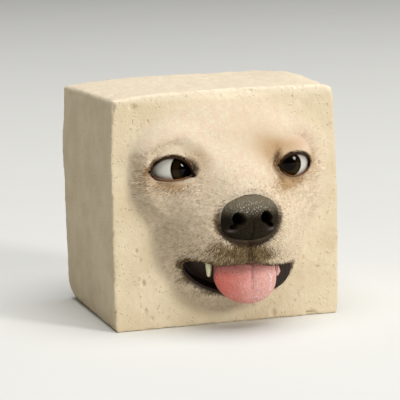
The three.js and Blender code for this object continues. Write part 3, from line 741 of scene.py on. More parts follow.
def make_tofu():
    finish = Finish("tofu")
    x, z = finish.x, finish.z
    front = finish.step(-FRONT + 0.2, -FRONT - 2.0, finish.y)
    flat_front = finish.step(-FRONT + 0.8, -FRONT + 0.2, finish.y)
    mottle = finish.noise(9.0, detail=4.0)
    mottle_fine = finish.noise(1.1, detail=3.0, rough=0.7)
    flecks = finish.noise(0.9, detail=3.0, rough=0.7)
    base = finish.mix(finish.step(0.3, 0.7, mottle), TOFU_DARK, TOFU_LIGHT)
    base = finish.mix(finish.step(0.58, 0.76, flecks) * 0.4, base, colour(198, 174, 132))
    dots = finish.step(0.11, 0.07, finish.cells(3.4)) * finish.step(0.45, 0.6, finish.noise(8.0))
    base = finish.mix(dots * (0.45 - flat_front * 0.2) * (1 - front), base, colour(150, 118, 66))
    rosy = finish.step(0.35, 0.65, finish.noise(3.2, detail=4.0, rough=0.65))
    skin = finish.mix(rosy, SKIN_ROSY, SKIN)
    skin = finish.mix(finish.step(0.4, 0.7, mottle_fine) * 0.5, skin, SKIN_PALE)
    shade = finish.mix(front, base, skin)
    # Painted light: the top face is made lighter, for the overhead light that falls on it.
    top = finish.step(HEIGHT - 1.5, HEIGHT + 0.5, z)
    shade = finish.mix(top * 0.6, shade, colour(244, 230, 206))
    for name, strength, tint in SKIN_TINTS:
        reach = finish.step(0.0, 1.2, patch(finish.hump, name, x, z) * (0.65 + mottle_fine * 0.7))
        shade = finish.mix(reach * strength * front, shade, tint)
    wander = (mottle_fine - 0.5) * 0.12
    # Dark skin round the nose pad, strongest below it: partly the skin's own dark rim, partly painted
    # shade under the overhanging pad.
    nose = finish.away((x - NOSE_CENTRE[0]) / NOSE_HALVES[0], (z - NOSE_CENTRE[2]) / NOSE_HALVES[2])
    low = finish.step(6.0, -3.0, z - NOSE_CENTRE[2])
    ring = finish.step(1.26, 1.06, nose + wander) * (0.15 + low * 0.8)
    shade = finish.mix(ring * front, shade, DARK_SKIN)
    along = x - MOUTH_MIDDLE
    below = z - CORNER_LEVEL + along * CORNER_LEAN
    mouth = finish.away(along / MOUTH_HALF, below / LOWER_LIP_DROP)
    lip = finish.step(1.14, 1.0, mouth + wander) * finish.step(4.0, 1.0, below)
    shade = finish.mix(lip * 0.85 * front, shade, DARK_SKIN)
    groove = finish.step(0.9, 0.2, abs(x - 2.5 - (28.0 - z) * 0.05))
    groove = groove * finish.step(24.0, 25.0, z) * finish.step(33.0, 31.0, z)
    shade = finish.mix(groove * 0.8 * front, shade, colour(40, 24, 14))
    for eye in EYES:
        away = finish.away(*in_gap(eye, x, z))
        line = finish.step(1.32, 1.04, away + (mottle_fine - 0.5) * 0.2)
        line = line * (0.3 + finish.step(-2.0, 1.5, z - eye["corners"][1]) * 0.6)
        shade = finish.mix(line * front, shade, colour(92, 58, 26))
    finish.set({"Base Color": shade, "Roughness": 0.8, "Specular IOR Level": 0.25})
    pores = finish.step(0.34, 0.10, finish.cells(1.3)) * finish.step(0.4, 0.6, finish.noise(4.0))
    roughness = finish.noise(0.45, detail=5.0, rough=0.7) * 0.8 + finish.noise(2.0, detail=3.0) * 0.9
    relief = roughness * (1 - front * 0.65) - pores * (1.05 - front * 0.75)
    finish.bump(relief, 0.9, 0.3)
    return finish.material


tofu = make_tofu()
print("tofu nodes:", len(tofu.node_tree.nodes))

# %% The block as a piece
def block_faces():
    """The lattice's faces by point number, in the order of CORNERS."""
    starts = np.cumsum([0] + [len(loop) for _, loop in FACES])
    return [tuple(CORNERS[a:b].tolist()) for a, b in zip(starts, starts[1:])]


FRONT_MAP_SCALE, SIDE_MAP_SCALE = 0.0077, 0.0039


def lay_out(piece):
    """A map that gives the front the most room."""
    layer = piece.data.uv_layers.new(name="OFBake")
    corner_of = {"front": (0, 0), "left": (0.64, 0), "right": (0.64, 0.33),
                 "back": (0, 0.64), "top": (0.33, 0.66), "base": (0.66, 0.66)}
    axes_of = {"front": (0, 2), "back": (0, 2), "left": (1, 2), "right": (1, 2),
               "top": (0, 1), "base": (0, 1)}
    coordinates = []
    for side, loop in FACES:
        scale = FRONT_MAP_SCALE if side == "front" else SIDE_MAP_SCALE
        lattice = np.array([(ACROSS[i] + HALF_WIDTH, BACK[j] + FRONT, UP[k]) for i, j, k in loop])
        coordinates.append(lattice[:, axes_of[side]] * scale + corner_of[side])
    layer.data.foreach_set("uv", np.concatenate(coordinates).ravel())


block = add_piece("tofu_with_face", BLOCK_POINTS, block_faces(), tofu)
lay_out(block)
place_piece(block, "tofu_block", slot="tofu")

# %% [markdown]
# ## Short fur
#
# The hairs are real ones: thin needles that lie almost flat and run away from the bridge of the nose.
# Each colour of hair is a piece of its own. Where the colours mix is what makes the face read as fur:
# cream nearly everywhere, tan round the eyes, straw between nose and mouth, dark at the lips and at the
# corners of the eyes.

# %% Where hair grows
FUR_MIDDLE = np.array([1.8, 45.0])
FUR_LOW, FUR_HIGH = np.array([-38.5, 1.5]), np.array([40.0, 77.0])
ROOT_DEPTH = 0.05


def off_lids(u, v):
    """Distance outside the nearer gap between lids, about millimetres."""
    return np.minimum(lids(EYES[0], u, v), lids(EYES[1], u, v))


def bare(u, v):
    """True in the eyes, the nose and the mouth, where no hair grows."""
    upper, lower = lips(u)
    in_mouth = (v < upper + 0.1) & (v > lower - 0.1) & (np.abs(u - MOUTH_MIDDLE) < MOUTH_HALF)
    return in_mouth | (off_lids(u, v) < 0.5) | (nose_ring(u, v) < 0.98)


def lip_edge(u, v):
    """1 just outside the lips, falling to 0 about two millimetres away."""
    return step(2.2, 0.0, off_lips(u, v))


def nose_edge(u, v):
    """1 just outside the nose pad, fainter above it."""
    return step(1.22, 1.02, nose_ring(u, v)) * blend(1, 0.45, step(0, 6, v - NOSE_CENTRE[2]))


def furry(u, v):
    """1 on the face, 0 on the bare tofu round it."""
    return step(0.8, 3.6, shut_skin(u, v)) * step(2.0, 9.0, v)


def hair_length(u, v):
    """Hair is shortest on the muzzle and round the eyes."""
    m, n = face_frame(u, v)
    short = 0.5 * hump(m, n + 6, 15, 14)
    for eye in EYES:
        short = short + 0.5 * hump(u - eye["corners"][0], v - eye["corners"][1] - 1, 11, 8)
    return 1 - np.minimum(short, 0.6)


# %% Needles
HAIR_WANDER, EYE_PULL = 0.22, 1.6


def unit(ways):
    """Vectors, one a row, brought to length 1."""
    return ways / np.linalg.norm(ways, axis=1, keepdims=True)


def lie_of_hair(rng, u, v):
    """Direction of each hair across the front: away from the nose, and round the eyes."""
    flow = unit(np.stack([u, v], axis=1) - FUR_MIDDLE)
    for eye in EYES:
        out = np.stack([u - eye["corners"][0], v - eye["corners"][1]], axis=1)
        flow += EYE_PULL * hump(*out.T, 11, 8)[:, None] * unit(out)
    turn = np.arctan2(flow[:, 1], flow[:, 0]) + rng.normal(0, HAIR_WANDER, len(u))
    return np.cos(turn), np.sin(turn)


def needles(rng, u, v, length, width, lift):
    """Three-sided needles on the skin at u, v. Lift is how far a tip stands off for its length."""
    reach = 0.12
    height = open_skin(u, v)
    rise_u = (open_skin(u + reach, v) - open_skin(u - reach, v)) / (2 * reach)
    rise_v = (open_skin(u, v + reach) - open_skin(u, v - reach)) / (2 * reach)
    cos, sin = lie_of_hair(rng, u, v)
    along = unit(np.stack([cos, -(rise_u * cos + rise_v * sin), sin], axis=1))
    outward_way = unit(np.stack([-rise_u, -np.ones_like(u), -rise_v], axis=1))
    side = np.cross(along, outward_way)
    root = np.stack([u, -FRONT - height, v], axis=1) - ROOT_DEPTH * outward_way
    half = (width / 2)[:, None]
    tip = root + length[:, None] * (along + lift[:, None] * outward_way)
    corners = [root + half * side, root - half * side, root + 0.5 * half * outward_way, tip]
    return np.stack(corners, axis=1).reshape(-1, 3)


def add_fur(name, chance, finish, seed, count, length, width, lift):
    """Scatters up to count needles where chance(u, v) allows and makes one piece of them."""
    rng = np.random.default_rng(seed)
    u, v = rng.uniform(FUR_LOW, FUR_HIGH, (count * 6, 2)).T
    grows = (rng.random(len(u)) < chance(u, v)) & ~bare(u, v)
    u, v = u[grows][:count], v[grows][:count]
    lengths = length * rng.uniform(0.6, 1.25, len(u)) * hair_length(u, v)
    widths = width * rng.uniform(0.7, 1.3, len(u))
    lifts = lift * rng.uniform(0.3, 1.6, len(u))
    points = needles(rng, u, v, lengths, widths, lifts)
    first = 4 * np.arange(len(u))[:, None, None]
    faces = (np.array([(0, 1, 3), (1, 2, 3), (2, 0, 3), (0, 2, 1)]) + first).reshape(-1, 3)
    fur = add_piece(name, points, faces.tolist(), finish, flat=True)
    place_piece(fur, "tofu_block", slot="tofu")


# %% Hair colours
def make_hair(name, dark, light):
    """Each hair, which is an island of its own in the mesh, gets its own shade between the two."""
    finish = Finish(name)
    of_hair = Value(finish, finish.node("ShaderNodeNewGeometry").outputs["Random Per Island"])
    lock = finish.step(0.35, 0.65, finish.noise(1.6, detail=2.0))
    shade = finish.mix(of_hair * 0.6 + lock * 0.4, dark, light)
    finish.set({"Base Color": shade, "Roughness": 0.7, "Specular IOR Level": 0.15})
    return finish.material


def darkness(u, v):
    """Share of dark hairs."""
    share = 0.5 * patch(hump, "lip", u, v) + 0.5 * patch(hump, "brown", u, v)
    share = share + 0.07 * patch(hump, "tan_and_shade", u, v)
    return np.minimum(share + 0.9 * nose_edge(u, v) + lip_edge(u, v), 1)


def cream_chance(u, v):
    clear = 1 - np.minimum(1.7 * darkness(u, v) + 0.5 * patch(hump, "tan_and_shade", u, v), 1)
    return furry(u, v) * clear * step(0.6, 1.8, off_lids(u, v))


def straw_chance(u, v):
    share = np.minimum(1.2 * patch(hump, "lip", u, v) + 0.01, 1)
    return furry(u, v) * share * step(0.9, 2, off_lids(u, v))


def tan_chance(u, v):
    share = 0.45 * patch(hump, "tan_and_shade", u, v) + 0.3 * step(3.0, 0.5, off_lids(u, v))
    return furry(u, v) * np.minimum(share, 1)


def dark_chance(u, v):
    return furry(u, v) * darkness(u, v)


cream_hair = make_hair("cream_hair", colour(214, 194, 162), colour(250, 237, 215))
straw_hair = make_hair("straw_hair", colour(106, 82, 48), colour(200, 174, 122))
tan_hair = make_hair("tan_hair", colour(132, 96, 56), colour(222, 186, 138))
dark_hair = make_hair("dark_hair", colour(40, 27, 16), colour(96, 74, 48))
add_fur("cream_fur", cream_chance, cream_hair, seed=3, count=40000, length=2.4, width=0.19, lift=0.12)
add_fur("straw_fur", straw_chance, straw_hair, seed=6, count=12000, length=1.1, width=0.16, lift=0.25)
add_fur("tan_fur", tan_chance, tan_hair, seed=4, count=18000, length=1.7, width=0.15, lift=0.2)
add_fur("dark_fur", dark_chance, dark_hair, seed=5, count=16000, length=1.2, width=0.16, lift=0.25)

# %% [markdown]
# ## The eyes
#
# Ball and iris are both turned round the line of sight: the ball from a half circle, the iris as a lens
# let into it, whose front carries on the ball's curve. Both are wet, so they get a clear coat. The
# highlight in them is the softbox, not paint. The lighter lower half of each iris is painted, though: it
# stands in for the floor's reflection.

# %% Turning a profile round the line of sight
def direction(right, above):
    """The way out of the front, turned to the right and then raised, by angles in degrees."""
    turn, rise = math.radians(right), math.radians(above)
    return np.array([math.sin(turn) * math.cos(rise), -math.cos(turn) * math.cos(rise), math.sin(rise)])


def look_of(eye):
    return direction(eye["yaw"], eye["pitch"])


def turned_to(way, points):
    """Points made round the Z axis, turned so that Z points along the way given."""
    turn = Vector((0, 0, 1)).rotation_difference(Vector(way)).to_matrix()
    return np.asarray(points) @ np.array(turn).T


def full_turn(count):
    """Angles spread evenly round a circle."""
    return np.linspace(0, 2 * np.pi, count, endpoint=False)


def revolved(profile, around_count):
    """Rings round the Z axis for a profile of (radius, level) points."""
    turns = full_turn(around_count)
    return np.array([(r * math.cos(t), r * math.sin(t), level) for r, level in profile for t in turns])


def arc(radius, from_angle, to_angle, count):
    """A profile that curves round the middle, its angles counted from the Z axis."""
    return [(radius * math.sin(a), radius * math.cos(a)) for a in np.linspace(from_angle, to_angle, count)]


IRIS_DEPTH, IRIS_PROUD = 0.7, 0.04
WET = {"Coat Roughness": 0.05, "Coat IOR": 1.29}


def off_iris(finish, eye):
    """Distance from the middle of the iris, 1 at its edge."""
    middle = eye["ball"] + look_of(eye) * BALL_RADIUS
    off = finish.node("ShaderNodeVectorMath", {"operation": "SUBTRACT"}, {0: finish.place, 1: middle})
    length = finish.node("ShaderNodeVectorMath", {"operation": "LENGTH"}, {0: off.outputs[0]})
    return Value(finish, length.outputs[1]) / eye["iris"]


def make_eye_white(eye):
    finish = Finish(eye["name"] + "_eye_white")
    # Painted shade: the white darkens towards the lids, where they shade it.
    lid_shade = finish.step(0.55, 1.05, finish.away(*in_gap(eye, finish.x, finish.z)))
    shade = finish.mix(finish.noise(4.0, detail=3.0), *eye["whites"])
    shade = finish.mix(lid_shade * 0.55, shade, colour(128, 112, 94))
    shade = finish.mix(finish.step(1.13, 0.98, off_iris(finish, eye)) * 0.8, shade, colour(70, 58, 46))
    finish.set({"Base Color": shade, "Roughness": 0.35, **WET, "Coat Weight": 1.0})
    return finish.material


def make_iris(eye):
    finish = Finish(eye["name"] + "_iris")
    away = off_iris(finish, eye)
    rays = finish.noise(0.35, detail=3.0)
    ring = finish.step(0.45, 0.65, away) * finish.step(1.0, 0.85, away)
    # Painted reflection: the lower half is lighter brown, for the floor reflected in the wet eye, over the
    # iris's own brown.
    low = finish.step(2.0, -3.0, finish.z - eye["ball"][2])
    brown = finish.mix(rays * (0.3 + low * 0.8), colour(10, 6, 2), colour(64, 48, 10))
    finish.set({"Base Color": finish.mix(ring, colour(6, 4, 3), brown), "Roughness": 0.4})
    finish.set({"Specular IOR Level": 0.0, **WET, "Coat Weight": 0.5})
    return finish.material


# %% Eyeballs and irises
def add_eye_part(eye, name, profile, finish, node, slot):
    """A part turned round the line of sight, its profile told from the middle of the ball."""
    around_count = 72
    points = turned_to(look_of(eye), revolved(profile, around_count)) + eye["ball"]
    ring_piece(eye["name"] + name, points, around_count, finish, eye["name"] + node, slot)


def add_eye(eye):
    profile = arc(BALL_RADIUS, 0.001, math.pi - 0.001, 60)
    add_eye_part(eye, "_eye_white", profile, make_eye_white(eye), "_eyeball", "eye_white")
    radius = BALL_RADIUS + IRIS_PROUD
    rim_angle = math.asin(eye["iris"] / radius)
    floor = radius * math.cos(rim_angle) - IRIS_DEPTH
    profile = [(0.001, floor), (eye["iris"], floor)] + arc(radius, rim_angle, 0.0001, 20)
    add_eye_part(eye, "_iris_lens", profile, make_iris(eye), "_iris", "iris")


for eye in EYES:
    add_eye(eye)

# %% [markdown]
# ## The rims of the lids
#
# Where lid meets eye there is a dark, hairless, moist edge, thicker above than below. It is a tube of
# changing section that follows the outline of the gap, which is easier to control than cutting a line
# into the skin, and it hides the steep wall where the skin turns in.

# %% Lid rims
def lid_outline(eye, grow, count):
    """Points round the gap between the lids, let out by grow, and which of them the upper lid has."""
    turns = full_turn(count)
    x = -(eye["half"] + grow) * np.cos(turns)
    upper, lower = lid_levels(eye, x, np.maximum(np.sin(turns) ** 2, 1e-9), grow)
    on_upper = turns < np.pi
    u, v = turned(x, np.where(on_upper, upper, -lower), -math.radians(eye["tilt"]))
    return u + eye["corners"][0], v + eye["corners"][1], on_upper


def make_lid_skin(eye):
    finish = Finish(eye["name"] + "_lid_skin")
    tilt = math.radians(eye["tilt"])
    across, up = finish.x - eye["corners"][0], finish.z - eye["corners"][1]
    upper = finish.step(-0.5, 0.6, up * math.cos(tilt) - across * math.sin(tilt))
    corner = finish.step(0.72, 0.95, abs(across) / eye["half"])
    mottle = finish.noise(0.8, detail=3.0)
    below = finish.mix(mottle, colour(84, 50, 28), colour(150, 104, 72))
    dark = finish.mix(mottle, colour(26, 14, 6), colour(58, 36, 16))
    finish.set({"Base Color": finish.mix(finish.math("MAXIMUM", upper, corner), below, dark)})
    finish.set({"Roughness": 0.7, "Specular IOR Level": 0.12})
    finish.bump(finish.noise(0.35, detail=3.0), 0.4, 0.08)
    return finish.material


# The tube's section: share of the way from its inner to its outer edge, and height over the skin
RIM_SECTION = [(0.0, -1.0), (0.0, -0.3), (0.2, 0.05), (0.5, 0.14), (0.8, 0.05), (1.0, -0.25), (1.0, -1.0),
               (0.5, -1.5)]
RIM_INSIDE, RIM_OUTSIDE, RIM_OFF_BALL = -0.3, 0.45, 0.08


def add_lid_rim(eye):
    near_u, near_v, on_upper = lid_outline(eye, RIM_INSIDE, 120)
    far_u, far_v, _ = lid_outline(eye, RIM_OUTSIDE, 120)
    rows = []
    for share, lift in RIM_SECTION:
        share = share * np.where(on_upper, 1.0, 0.5)
        at_u, at_v = blend(near_u, far_u, share), blend(near_v, far_v, share)
        over_ball = ball_height(eye, at_u, at_v, BALL_RADIUS + RIM_OFF_BALL)
        height = np.maximum(shut_skin(at_u, at_v) + lift, over_ball)
        rows.append(np.stack([at_u, -FRONT - height, at_v], axis=1))
    points = np.stack(rows, axis=1).reshape(-1, 3)
    ring_piece(eye["name"] + "_lid_edge", points, len(rows), make_lid_skin(eye),
               eye["name"] + "_lid_rim", "lid_skin", joined=True)


for eye in EYES:
    add_lid_rim(eye)

# %% [markdown]
# ## The nose
#
# A dog's nose is bare, pebbled skin over a rounded pad. Two nostrils open forwards and run out to the
# side as slits, and a fine groove parts the pad below them. The pad is a ball of points whose pole looks
# forward, because that puts the most points where nostrils are pushed in.

# %% Nose pad
NOSTRIL_OUT, NOSTRIL_LEVEL, NOSTRIL_DEPTH = 4.9, 0.8, 4.2
NOSTRIL_HALF_WIDTH, NOSTRIL_HALF_HEIGHT = 1.95, 2.15
LEFTWARDS = 0.5
WING_SWELL, NOSTRIL_RIM, MIDDLE_GROOVE = 0.35, 0.3, 0.5


def nostril(x, z):
    """1 inside a nostril or its slit, 0 outside, for places on the front of the pad."""
    x, z = np.abs(x), z - NOSTRIL_LEVEL
    hole = np.hypot((x - NOSTRIL_OUT) / NOSTRIL_HALF_WIDTH, z / NOSTRIL_HALF_HEIGHT)
    along = (x - NOSTRIL_OUT) * 0.78 - (z + 0.6) * 0.62
    aside = (x - NOSTRIL_OUT) * 0.62 + (z + 0.6) * 0.78
    slit = np.maximum(np.abs(along - 1.6) - 1.5, 0) / 0.7 + np.abs(aside + 0.5) / 0.75
    return np.maximum(step(1.15, 0.7, hole), 0.75 * step(1.3, 0.5, slit))


def add_nose(finish):
    rows, around_count = 150, 240
    angles = np.linspace(0.002, math.pi - 0.002, rows)
    a, t = np.meshgrid(angles, full_turn(around_count), indexing="ij")
    x, y, z = np.sin(a) * np.cos(t), -np.cos(a), np.sin(a) * np.sin(t)
    facing = step(0.15, -0.5, y)
    square = blend(2.2, 2.35, step(0.2, -0.3, z))
    around_axis = np.maximum(np.hypot(x, z), 1e-6)
    fill = (np.abs(x / around_axis) ** square + np.abs(z / around_axis) ** square) ** (-1 / square)
    px, pz = x * fill * NOSE_HALVES[0], z * fill * NOSE_HALVES[2]
    pz = pz * np.where(pz < 0, NOSE_BELOW, NOSE_ABOVE)
    py = y * NOSE_HALVES[1]
    wing = WING_SWELL * hump(np.abs(px) - 7.6, pz - 0.6, 2.4, 3.6)
    aside = px + LEFTWARDS
    round_hole = np.hypot((np.abs(aside) - NOSTRIL_OUT) / 1.9, (pz - NOSTRIL_LEVEL) / 2.1)
    rim = NOSTRIL_RIM * ridge(round_hole - 1.35, 0.28)
    middle = MIDDLE_GROOVE * ridge(aside, 0.45) * step(1.5, -1.0, pz)
    py = py - (wing + rim - middle - NOSTRIL_DEPTH * nostril(aside, pz)) * facing
    points = np.stack([px, py, pz], axis=-1).reshape(-1, 3) + NOSE_CENTRE
    ring_piece("nose_pad", points, around_count, finish, "nose", "nose_leather")


def make_nose_leather():
    finish = Finish("nose_leather")
    across, up = abs(finish.x - NOSE_CENTRE[0] + LEFTWARDS), finish.z - NOSE_CENTRE[2]
    pebbles = finish.cells(0.62, random=0.9)
    mottle = finish.noise(3.0, detail=3.0)
    shade = finish.mix(mottle, colour(26, 20, 7), colour(46, 36, 14))
    # Painted shade: the cracks between the pebbles are darkened.
    shade = finish.mix(finish.step(0.35, 0.6, pebbles) * 0.6, shade, colour(10, 7, 3))
    # Painted light: the upper side of the pad is lighter, for the overhead light that falls on it.
    upper = finish.step(0.5, 6.0, up)
    shade = finish.mix(upper * 0.8, shade, colour(116, 106, 86))
    fold = finish.hump(across - 7.2, up + 3.4, 1.3, 0.5) * 0.5
    shade = finish.mix(fold, shade, colour(124, 108, 112))
    # Painted shade: inside the nostrils the pad is coloured near black, for the dark depth of the holes.
    hole = finish.step(0.35, 0.8, finish.hump(across - NOSTRIL_OUT, up - NOSTRIL_LEVEL, 2.1, 2.3))
    shade = finish.mix(hole, shade, colour(3, 2, 2))
    # Painted highlight: the pebble tops in a band across the upper front are near white, a sparkle of
    # sheen.
    painted_sheen = finish.hump(up - 4.6, across, 1.9, 7.5)
    shade = finish.mix(finish.step(0.36, 0.12, pebbles) * painted_sheen * 0.9, shade, colour(222, 220, 218))
    roughness = 0.7 - upper * 0.4 + hole * 0.3
    finish.set({"Base Color": shade, "Roughness": roughness, "Specular IOR Level": 0.12})
    finish.bump(1 - pebbles + finish.noise(0.25, detail=2.0) * 0.4, 1.0, 0.3)
    return finish.material


add_nose(make_nose_leather())

# %% [markdown]
# ## The mouth
#
# The open mouth is dark: a black-brown lower lip and the floor behind it. The lip's colour is its own;
# on the floor behind, the same dark is painted shade for the depth of the mouth. It is one strip of skin
# from corner to corner. Its front edge is rolled into a lip, and behind that it falls away into the dark.

# %% Lining and lower lip
def make_mouth_skin():
    finish = Finish("mouth_skin")
    # The lip's own black-brown, which on the floor of the mouth is painted shade.
    shade = finish.mix(finish.noise(1.6, detail=3.0), colour(16, 9, 5), colour(58, 38, 24))
    finish.set({"Base Color": shade, "Roughness": 0.55, "Specular IOR Level": 0.3})
    finish.bump(finish.noise(1.1, detail=4.0), 0.9, 0.6)
    return finish.material


def lining_height(u, v, lower):
    inward = v - lower
    recess = blend(0.2, 5.0, step(0.4, 3.5, inward)) - 0.5 * ridge(inward - 0.9, 0.7)
    return np.clip(shut_skin(u, v) - recess, MOUTH_FLOOR + GAP, 10.0)


def add_mouth(finish):
    turns = np.linspace(0, np.pi, 161)
    u = MOUTH_MIDDLE - (MOUTH_HALF - 0.15) * np.cos(turns)
    upper, lower = lips(u)
    low, high = lower - 0.15, np.maximum(upper + 0.2, lower + 0.3)
    shares = np.concatenate([np.linspace(0, 0.35, 16), np.linspace(0.4, 1, 12)])
    behind = np.full_like(u, -FRONT - MOUTH_FLOOR + 0.4)
    rows = [np.stack([u, behind, low], axis=1)]
    for share in shares:
        v = blend(low, high, share)
        rows.append(np.stack([u, -FRONT - lining_height(u, v, low), v], axis=1))
    rows.append(np.stack([u, behind, high], axis=1))
    points = np.stack(rows, axis=1).reshape(-1, 3)
    ring_piece("lower_lip_and_mouth", points, len(rows), finish, "mouth_lining", "mouth_skin")


add_mouth(make_mouth_skin())

# %% [markdown]
# ## The tongue
#
# It hangs over the lower lip: flat and broad, rounded at the tip, with a crease down its middle that
# fades before the tip. Rings from root to tip make it, each an oval whose size follows the outline.

# %% Tongue
TONGUE_TIP, TONGUE_WIDEST, TONGUE_ROOT = 8.6, 19.8, 23.9
TONGUE_HALF_WIDTH, TONGUE_HALF_THICKNESS, TONGUE_CREASE = 11.35, 2.5, 3.3
TONGUE_REACH, TONGUE_SINK, TONGUE_SWAY = 13.8, 3.7, 3.2
CREASE_DEPTH, SWELL = 0.55, 0.35


def make_tongue():
    finish = Finish("tongue_flesh")
    papillae = finish.cells(0.5)
    cloud = finish.noise(5.0, detail=3.0)
    wandering = finish.x + (cloud - 0.5) * 8.0
    shade = finish.mix(finish.step(-9.0, 11.0, wandering), colour(205, 93, 75), colour(242, 176, 166))
    # Painted shade: the crease down the middle is darker red.
    crease = finish.step(0.9, 0.0, abs(finish.x - TONGUE_CREASE)) * finish.step(13.3, 18.3, finish.z)
    shade = finish.mix(crease * 0.6, shade, colour(170, 80, 76))
    # Painted shade: the top of the tongue, under the upper lip, is darkened.
    shade = finish.mix(finish.step(19.4, 23.0, finish.z) * 0.8, shade, colour(128, 60, 48))
    wet = finish.step(-7.0, 7.0, wandering)
    drawn_out = finish.vector(finish.x, finish.y, finish.z * 0.4)
    # Painted highlights: pale streaks on the wet part stand in for glints of the lamps; they are raised a
    # little in the bump as well.
    highlight_streaks = finish.step(0.52, 0.68, finish.noise(1.0, detail=3.0, rough=0.6, at=drawn_out))
    highlight_streaks = highlight_streaks * wet * finish.step(22.0, 19.5, finish.z)
    shade = finish.mix(highlight_streaks * 0.6, shade, colour(255, 226, 224))
    finish.set({"Base Color": shade, "Roughness": 0.46 - wet * 0.2, "Specular IOR Level": 1.0})
    finish.bump(papillae * -1.2 + highlight_streaks * 0.6 + cloud * 2.0, 1.0, 0.35)
    return finish.material


def add_tongue(finish):
    rows, around_count = 70, 96
    turns = full_turn(around_count)
    side, out = np.cos(turns), np.sin(turns)
    points = []
    for angle in np.linspace(0, np.pi / 2, rows):
        v = blend(TONGUE_ROOT, TONGUE_TIP, math.sin(angle))
        fall = min(max((TONGUE_WIDEST - v) / (TONGUE_WIDEST - TONGUE_TIP), 0), 0.9999)
        half_width = TONGUE_HALF_WIDTH * math.sqrt(1 - fall ** 2) - 0.3 * float(step(18, 24, v))
        middle = 1.35 + TONGUE_SWAY * fall ** 1.4
        thickness = TONGUE_HALF_THICKNESS * math.sqrt(1 - fall ** 4)
        height = TONGUE_REACH - TONGUE_SINK * fall ** 2 - 0.12 * max(v - TONGUE_WIDEST, 0)
        u = middle + half_width * side
        off = u - TONGUE_CREASE
        crease = CREASE_DEPTH * ridge(off, 0.55) - SWELL * ridge(np.abs(off) - 3.2, 2.4)
        height = height + thickness * out - crease * (1 - fall) * (out > 0)
        points.append(np.stack([u, -FRONT - height, np.full(around_count, v)], axis=1))
    ring_piece("tongue_blade", np.concatenate(points), around_count, finish, "tongue", "tongue_flesh")


tongue_flesh = make_tongue()
add_tongue(tongue_flesh)

# %% [markdown]
# ## Tooth and lip fold
#
# One canine shows beside the tongue: a slim cone of cream enamel with a blunt tip. At the other corner a
# small pink fold of the inner lip catches the light.

# %% Tooth
def make_enamel():
    finish = Finish("enamel")
    shade = finish.mix(finish.noise(1.5), colour(206, 198, 150), colour(232, 228, 196))
    finish.set({"Base Color": shade, "Roughness": 0.25, "Coat Weight": 0.6, "Coat Roughness": 0.1})
    return finish.material


def add_tooth(finish):
    low, high = node_box("canine_tooth")
    middle = (low + high) / 2
    radius = (high[0] - low[0]) / 2
    length = high[2] - low[2]
    around_count = 28
    profile = [(radius * min(1, 0.5 + 0.8 * s ** 0.75) * math.sqrt(min(1, s * 14 + 0.001)), s * length)
               for s in np.linspace(0, 1, 28)]
    points = revolved(profile, around_count) + np.array([middle[0], middle[1], low[2]])
    ring_piece("canine", points, around_count, finish, "canine_tooth", "tooth")


add_tooth(make_enamel())


# %% Lip fold
FOLD_LEFTWARDS, FOLD_WIDENING = 0.6, 1.35


def add_fold(finish):
    low, high = node_box("lip_fold")
    centre = (low + high) / 2 - np.array([FOLD_LEFTWARDS, 0, 0])
    halves = (high - low) / 2 * np.array([FOLD_WIDENING, 1.0, 1.0])
    around_count = 40
    points = revolved(arc(1.0, 0.01, math.pi - 0.01, 28), around_count)
    waver = 1 + 0.05 * np.sin(points[:, 2] * 5.0 + points[:, 0] * 3.0)
    points = points * halves * np.stack([waver, waver, np.ones_like(waver)], axis=1) + centre
    ring_piece("pink_fold", points, around_count, finish, "lip_fold", "tongue_flesh")


add_fold(tongue_flesh)

# %% [markdown]
# ## Floor, light and camera
#
# A pale floor, a small softbox low on the right, a large one overhead and a faint warm sky. The small
# softbox models the muzzle: its left flank and the block's left side fall into soft shade, and both eyes
# hold its glint. The large one lights the top and fills the shade.

# %% Floor
def make_floor():
    finish = Finish("floor_paint")
    shade = finish.mix(finish.noise(120.0), colour(226, 226, 222), colour(230, 230, 226))
    finish.set({"Base Color": shade, "Roughness": 0.85})
    return finish.material


FLOOR_HALF = 4000.0
floor_corners = [(x * FLOOR_HALF, y * FLOOR_HALF, 0) for x, y in ((-1, -1), (1, -1), (1, 1), (-1, 1))]
floor = add_piece("floor", floor_corners, [(0, 1, 2, 3)], make_floor(), flat=True)

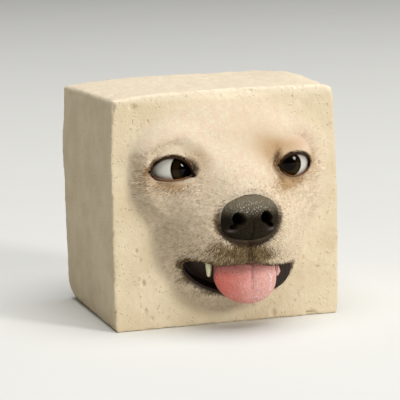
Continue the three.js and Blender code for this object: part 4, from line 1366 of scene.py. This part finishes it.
# %% Camera
CAMERA_AZIMUTH, CAMERA_ELEVATION, CAMERA_ROLL = -18.13, 9.39, math.radians(-1.05)
CAMERA_DISTANCE = 716.0
CAMERA_TARGET = np.array([0.34, 0.0, 38.9])
FOCAL_PIXELS, FRAME_PIXELS, SENSOR = 1976.2, 400, 36.0


def add_camera():
    """A camera that looks at the target, its axes the columns of its matrix."""
    back = direction(CAMERA_AZIMUTH, CAMERA_ELEVATION)
    right = direction(CAMERA_AZIMUTH + 90, 0)
    columns = np.eye(4)
    columns[:3, 0], columns[:3, 1] = turned(right, np.cross(back, right), CAMERA_ROLL)
    columns[:3, 2] = back
    columns[:3, 3] = (CAMERA_TARGET + back * CAMERA_DISTANCE) * MM
    data = bpy.data.cameras.new("camera")
    data.sensor_width = SENSOR
    data.lens = FOCAL_PIXELS / FRAME_PIXELS * SENSOR
    data.clip_start = 0.05
    camera = bpy.data.objects.new("camera", data)
    camera.matrix_world = Matrix(columns.tolist())
    bpy.context.scene.collection.objects.link(camera)
    bpy.context.scene.camera = camera
    print("camera at", camera.location[:])


add_camera()


# %% Lights
LIGHT_AIM = Vector((0, 0, 0.04))
SKY_TINT, SKY_STRENGTH = (1.0, 0.93, 0.82, 1.0), 0.045


def add_softbox(name, azimuth, elevation, distance, size, power, tint):
    """An area light that looks at the block from the direction given, in degrees and metres."""
    away = Vector(direction(azimuth, elevation))
    data = bpy.data.lights.new(name, "AREA")
    data.shape = "DISK"
    data.size = size
    data.energy = power
    data.color = tint
    lamp = bpy.data.objects.new(name, data)
    lamp.location = LIGHT_AIM + away * distance
    lamp.rotation_euler = away.to_track_quat("Z", "Y").to_euler()
    bpy.context.scene.collection.objects.link(lamp)


add_softbox("key", 37, 18, 2.0, 0.45, 23.5, (1.0, 0.98, 0.95))
add_softbox("overhead", 20, 82, 3.0, 2.8, 101.0, (0.98, 0.98, 0.98))

world = bpy.data.worlds.new("studio")
bpy.context.scene.world = world
world.use_nodes = True
sky = world.node_tree.nodes["Background"]
sky.inputs["Color"].default_value = SKY_TINT
sky.inputs["Strength"].default_value = SKY_STRENGTH
bpy.context.scene.view_settings.view_transform = "Standard"
